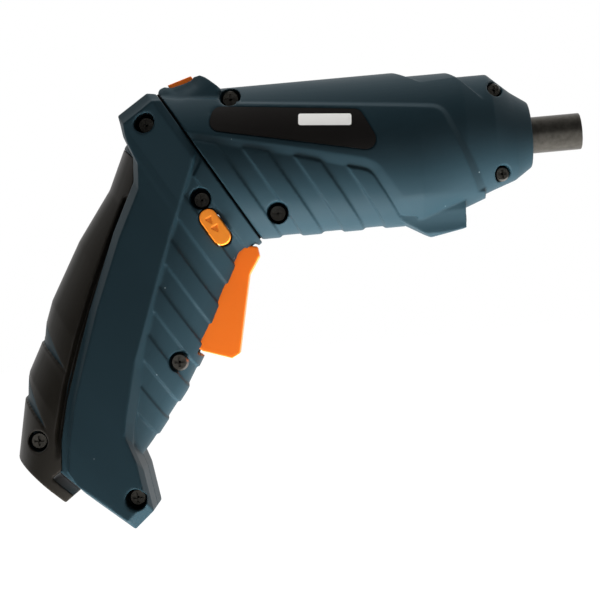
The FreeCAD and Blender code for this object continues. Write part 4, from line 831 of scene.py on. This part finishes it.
work = bmesh.new()
for node in ("handle_shell_right", "handle_shell_left"):
    for vertex in nodes[node].data.vertices:
        place = nodes[node].matrix_world @ vertex.co / MM - SWIVEL_PIVOT
        level = place.dot(SWIVEL_AXIS)
        if abs(level - RIM_LEVEL) < RIM_TOLERANCE:
            work.verts.new((place - SWIVEL_AXIS * level) * DISC_SHARE)
bmesh.ops.convex_hull(work, input=work.verts)
rim = {vertex for vertex in work.verts if vertex.link_faces}
loop = sorted(rim, key=lambda vertex: math.atan2(vertex.co.y, vertex.co.dot(DOWN_PLANE)))
ring = [vertex.co.copy() for vertex in loop]
work.free()
disc_points = []
for level in (-DISC_HALF, DISC_HALF):
    disc_points += [SWIVEL_PIVOT + spot + SWIVEL_AXIS * level for spot in ring]
# The disc is painted shade, a near-black sheet put in the gap where there is only shadow
settle(mesh_piece("swivel_gap_shade", disc_points, prism_faces(0, len(ring))), "handle", "painted_gap_shade")

# %% [markdown]
# ## Casing screws
# Nine self-tapping screws hold the shells together. They all follow one rule: a pan head with a cross recess,
# and a shank with rings for a thread. They could be copied by hand, but a Geometry Nodes tree makes that
# screw from its sizes and sets one on each point. The points are the head centres read from the CAD screws.

# %% Screw parts
HEAD_SIDES, SHANK_SIDES = 48, 24
HEAD_TAPER = 0.8
# Shares of the head's radius and height
RECESS_LENGTH, RECESS_DEPTH = 1.1, 1.2
# Shares of the shank's radius and of the step between rings
THREAD_ROOT, RING_HEIGHT = 0.8, 0.6


def vector(tree, **parts):
    """Return a vector whose parts are sockets."""
    made = tree.nodes.new("ShaderNodeCombineXYZ")
    for axis, value in parts.items():
        tree.links.new(value, made.inputs[axis])
    return made.outputs[0]


def raised(tree, mesh, height):
    """Return a mesh moved up by a height."""
    moved = tree.nodes.new("GeometryNodeTransform")
    tree.links.new(mesh, moved.inputs["Geometry"])
    tree.links.new(vector(tree, Z=height), moved.inputs["Translation"])
    return moved.outputs["Geometry"]


def tapered(tree, sides, top, bottom, height):
    """Return a cone with its top cut off."""
    made = tree.nodes.new("GeometryNodeMeshCone")
    made.inputs["Vertices"].default_value = sides
    for name, value in (("Radius Top", top), ("Radius Bottom", bottom), ("Depth", height)):
        tree.links.new(value, made.inputs[name])
    return made.outputs["Mesh"]


def screw_head(tree, size, below):
    """Return a pan head whose top is at zero height, with a cross recess."""
    radius, height = size["Head Radius"], size["Head Height"]
    head = tapered(tree, HEAD_SIDES, calculate(tree, "MULTIPLY", radius, HEAD_TAPER), radius, height)
    length = calculate(tree, "MULTIPLY", radius, RECESS_LENGTH)
    depth = calculate(tree, "MULTIPLY", height, RECESS_DEPTH)
    recessed = tree.nodes.new("GeometryNodeMeshBoolean")
    recessed.operation = "DIFFERENCE"
    for along, aside in (("X", "Y"), ("Y", "X")):
        bar = tree.nodes.new("GeometryNodeMeshCube")
        extent = vector(tree, **{along: length, aside: size["Recess Width"], "Z": depth})
        tree.links.new(extent, bar.inputs["Size"])
        tree.links.new(bar.outputs["Mesh"], recessed.inputs[1])
    tree.links.new(raised(tree, head, below), recessed.inputs[0])
    return recessed.outputs["Mesh"]


def screw_shank(tree, size, root, below):
    """Return the plain core of the shank, which hangs from the head."""
    shank = tree.nodes.new("GeometryNodeMeshCylinder")
    shank.inputs["Vertices"].default_value = SHANK_SIDES
    tree.links.new(root, shank.inputs["Radius"])
    tree.links.new(size["Shank Length"], shank.inputs["Depth"])
    half_way = calculate(tree, "MULTIPLY_ADD", size["Shank Length"], -0.5, below)
    return raised(tree, shank.outputs["Mesh"], half_way)


def screw_rings(tree, size, root, below):
    """Return the thread as tapered rings at even steps down the shank."""
    step_down = calculate(tree, "MULTIPLY", size["Ring Step"], -1)
    steps = calculate(tree, "DIVIDE", size["Shank Length"], size["Ring Step"])
    line = tree.nodes.new("GeometryNodeMeshLine")
    count = calculate(tree, "FLOOR", calculate(tree, "SUBTRACT", steps, 1))
    tree.links.new(count, line.inputs["Count"])
    tree.links.new(vector(tree, Z=calculate(tree, "ADD", below, step_down)), line.inputs["Start Location"])
    tree.links.new(vector(tree, Z=step_down), line.inputs["Offset"])
    height = calculate(tree, "MULTIPLY", size["Ring Step"], RING_HEIGHT)
    rings = tree.nodes.new("GeometryNodeInstanceOnPoints")
    tree.links.new(line.outputs["Mesh"], rings.inputs["Points"])
    thread = tapered(tree, SHANK_SIDES, root, size["Shank Radius"], height)
    tree.links.new(thread, rings.inputs["Instance"])
    return rings.outputs["Instances"]


# %% Screw tree
SCREW_SIZES = {"Head Radius": 2.7, "Head Height": 2, "Shank Radius": 1.5, "Shank Length": 17,
               "Recess Width": 0.7, "Ring Step": 1.1}


def make_screw_tree():
    """Return a tree that sets a cross-recess screw, head toward -Y, on each point of the mesh."""
    tree = bpy.data.node_groups.new("casing_screw", "GeometryNodeTree")
    socket(tree, "Geometry", "NodeSocketGeometry", "INPUT")
    for name, value in SCREW_SIZES.items():
        socket(tree, name, "NodeSocketFloat", "INPUT", value * MM)
    socket(tree, "Material", "NodeSocketMaterial", "INPUT")
    socket(tree, "Geometry", "NodeSocketGeometry", "OUTPUT")
    new, link = tree.nodes.new, tree.links.new
    given, result = new("NodeGroupInput"), new("NodeGroupOutput")
    size = given.outputs
    below = calculate(tree, "MULTIPLY", size["Head Height"], -1)
    root = calculate(tree, "MULTIPLY", size["Shank Radius"], THREAD_ROOT)
    whole, turned = new("GeometryNodeJoinGeometry"), new("GeometryNodeTransform")
    link(screw_head(tree, size, below), whole.inputs["Geometry"])
    link(screw_shank(tree, size, root, below), whole.inputs["Geometry"])
    link(screw_rings(tree, size, root, below), whole.inputs["Geometry"])
    turned.inputs["Rotation"].default_value = (math.pi / 2, 0, 0)
    link(whole.outputs["Geometry"], turned.inputs["Geometry"])
    screws, real = new("GeometryNodeInstanceOnPoints"), new("GeometryNodeRealizeInstances")
    coloured = new("GeometryNodeSetMaterial")
    link(size["Geometry"], screws.inputs["Points"])
    link(turned.outputs["Geometry"], screws.inputs["Instance"])
    link(screws.outputs["Instances"], real.inputs["Geometry"])
    link(real.outputs["Geometry"], coloured.inputs["Geometry"])
    link(size["Material"], coloured.inputs["Material"])
    link(coloured.outputs["Geometry"], result.inputs["Geometry"])
    return tree


screw_tree = make_screw_tree()
print("screw tree of", len(screw_tree.nodes), "nodes")

# %% Screws in place
TIP_TOLERANCE = 0.01


def loose_parts(node):
    """Return the points of each separate solid of a CAD node, in millimetres."""
    work = bmesh.new()
    work.from_mesh(nodes[node].data)
    bmesh.ops.remove_doubles(work, verts=work.verts, dist=JOIN_DISTANCE)
    left, parts = set(work.verts), []
    while left:
        waiting, part = [left.pop()], []
        while waiting:
            vertex = waiting.pop()
            part.append(nodes[node].matrix_world @ vertex.co / MM)
            for edge in vertex.link_edges:
                other = edge.other_vert(vertex)
                if other in left:
                    left.remove(other)
                    waiting.append(other)
        parts.append(np.array([tuple(point) for point in part]))
    work.free()
    return parts


def screw_kinds(node):
    """Return the head centres of a CAD screw node by head radius, shank radius and length."""
    kinds = {}
    for part in loose_parts(node):
        low, high = part.min(axis=0), part.max(axis=0)
        centre = (low + high) / 2
        tip = part[part[:, 1] > high[1] - TIP_TOLERANCE]
        shank = np.hypot(tip[:, 0] - centre[0], tip[:, 2] - centre[2]).max()
        extent = high - low
        kind = (round(float(extent[0]) / 2, 1), round(float(shank), 2), round(float(extent[1]), 1))
        kinds.setdefault(kind, []).append((centre[0], low[1], centre[2]))
    return [(kind, sorted(places)) for kind, places in sorted(kinds.items())]


def screw_field(node):
    """Return one mesh object with a detailed screw for each solid of a CAD screw node."""
    joined = bmesh.new()
    for (head_radius, shank_radius, length), places in screw_kinds(node):
        points = mesh_piece(f"{node}_points", places, [])
        maker = points.modifiers.new("screws", "NODES")
        maker.node_group = screw_tree
        head_height = SCREW_SIZES["Head Height"]
        values = {"Head Radius": head_radius * MM, "Head Height": head_height * MM,
                  "Shank Radius": shank_radius * MM, "Shank Length": (length - head_height) * MM,
                  "Material": FINISHES["dark_steel"]}
        for item in screw_tree.interface.items_tree:
            if item.in_out == "INPUT" and item.name in values:
                maker[item.identifier] = values[item.name]
        made = plain_mesh(points, f"{node}_kind")
        joined.from_mesh(made.data)
        bpy.data.objects.remove(made)
        print(len(places), "screws with a head of", 2 * head_radius, "mm")
    mesh = bpy.data.meshes.new(f"{node}_detailed")
    joined.to_mesh(mesh)
    joined.free()
    return place_mesh(f"{node}_detailed", mesh)


for node in ("handle_screws", "head_screws"):
    settle(screw_field(node), body_of[node], "dark_steel", node)

# %% [markdown]
# ## Floor
# A pale floor below the tool keeps its shadow in other views. More light would make it white, but would wash
# out the tool. So to the camera and in reflections it glows, almost as white as the surround.

# %% Floor
FLOOR_HALF = 4
FLOOR_COLOUR = (0.82, 0.82, 0.82, 1)
FLOOR_ROUGHNESS = 0.6
FLOOR_GLOW = 0.9
GLOW_STRENGTH = 1.09

floor_mesh = bpy.data.meshes.new("floor")
corners = [(-1, -1), (1, -1), (1, 1), (-1, 1)]
floor_points = [(x * FLOOR_HALF, y * FLOOR_HALF, FLOOR_LEVEL) for x, y in corners]
floor_mesh.from_pydata(floor_points, [], [(0, 1, 2, 3)])
floor = place_mesh("floor", floor_mesh)
floor_finish = bpy.data.materials.new("pale_floor")
floor_finish.use_nodes = True
tree = floor_finish.node_tree
paint = tree.nodes["Principled BSDF"]
paint.inputs["Base Color"].default_value = FLOOR_COLOUR
paint.inputs["Roughness"].default_value = FLOOR_ROUGHNESS
glow = tree.nodes.new("ShaderNodeEmission")
glow.inputs["Strength"].default_value = GLOW_STRENGTH
mixed = tree.nodes.new("ShaderNodeMixShader")
tree.links.new(calculate(tree, "MULTIPLY", seen_directly(tree), FLOOR_GLOW), mixed.inputs["Fac"])
tree.links.new(paint.outputs["BSDF"], mixed.inputs[1])
tree.links.new(glow.outputs["Emission"], mixed.inputs[2])
tree.links.new(mixed.outputs["Shader"], tree.nodes["Material Output"].inputs["Surface"])
floor_mesh.materials.append(floor_finish)
print("floor", round(FLOOR_GAP / MM), "mm below the tool")
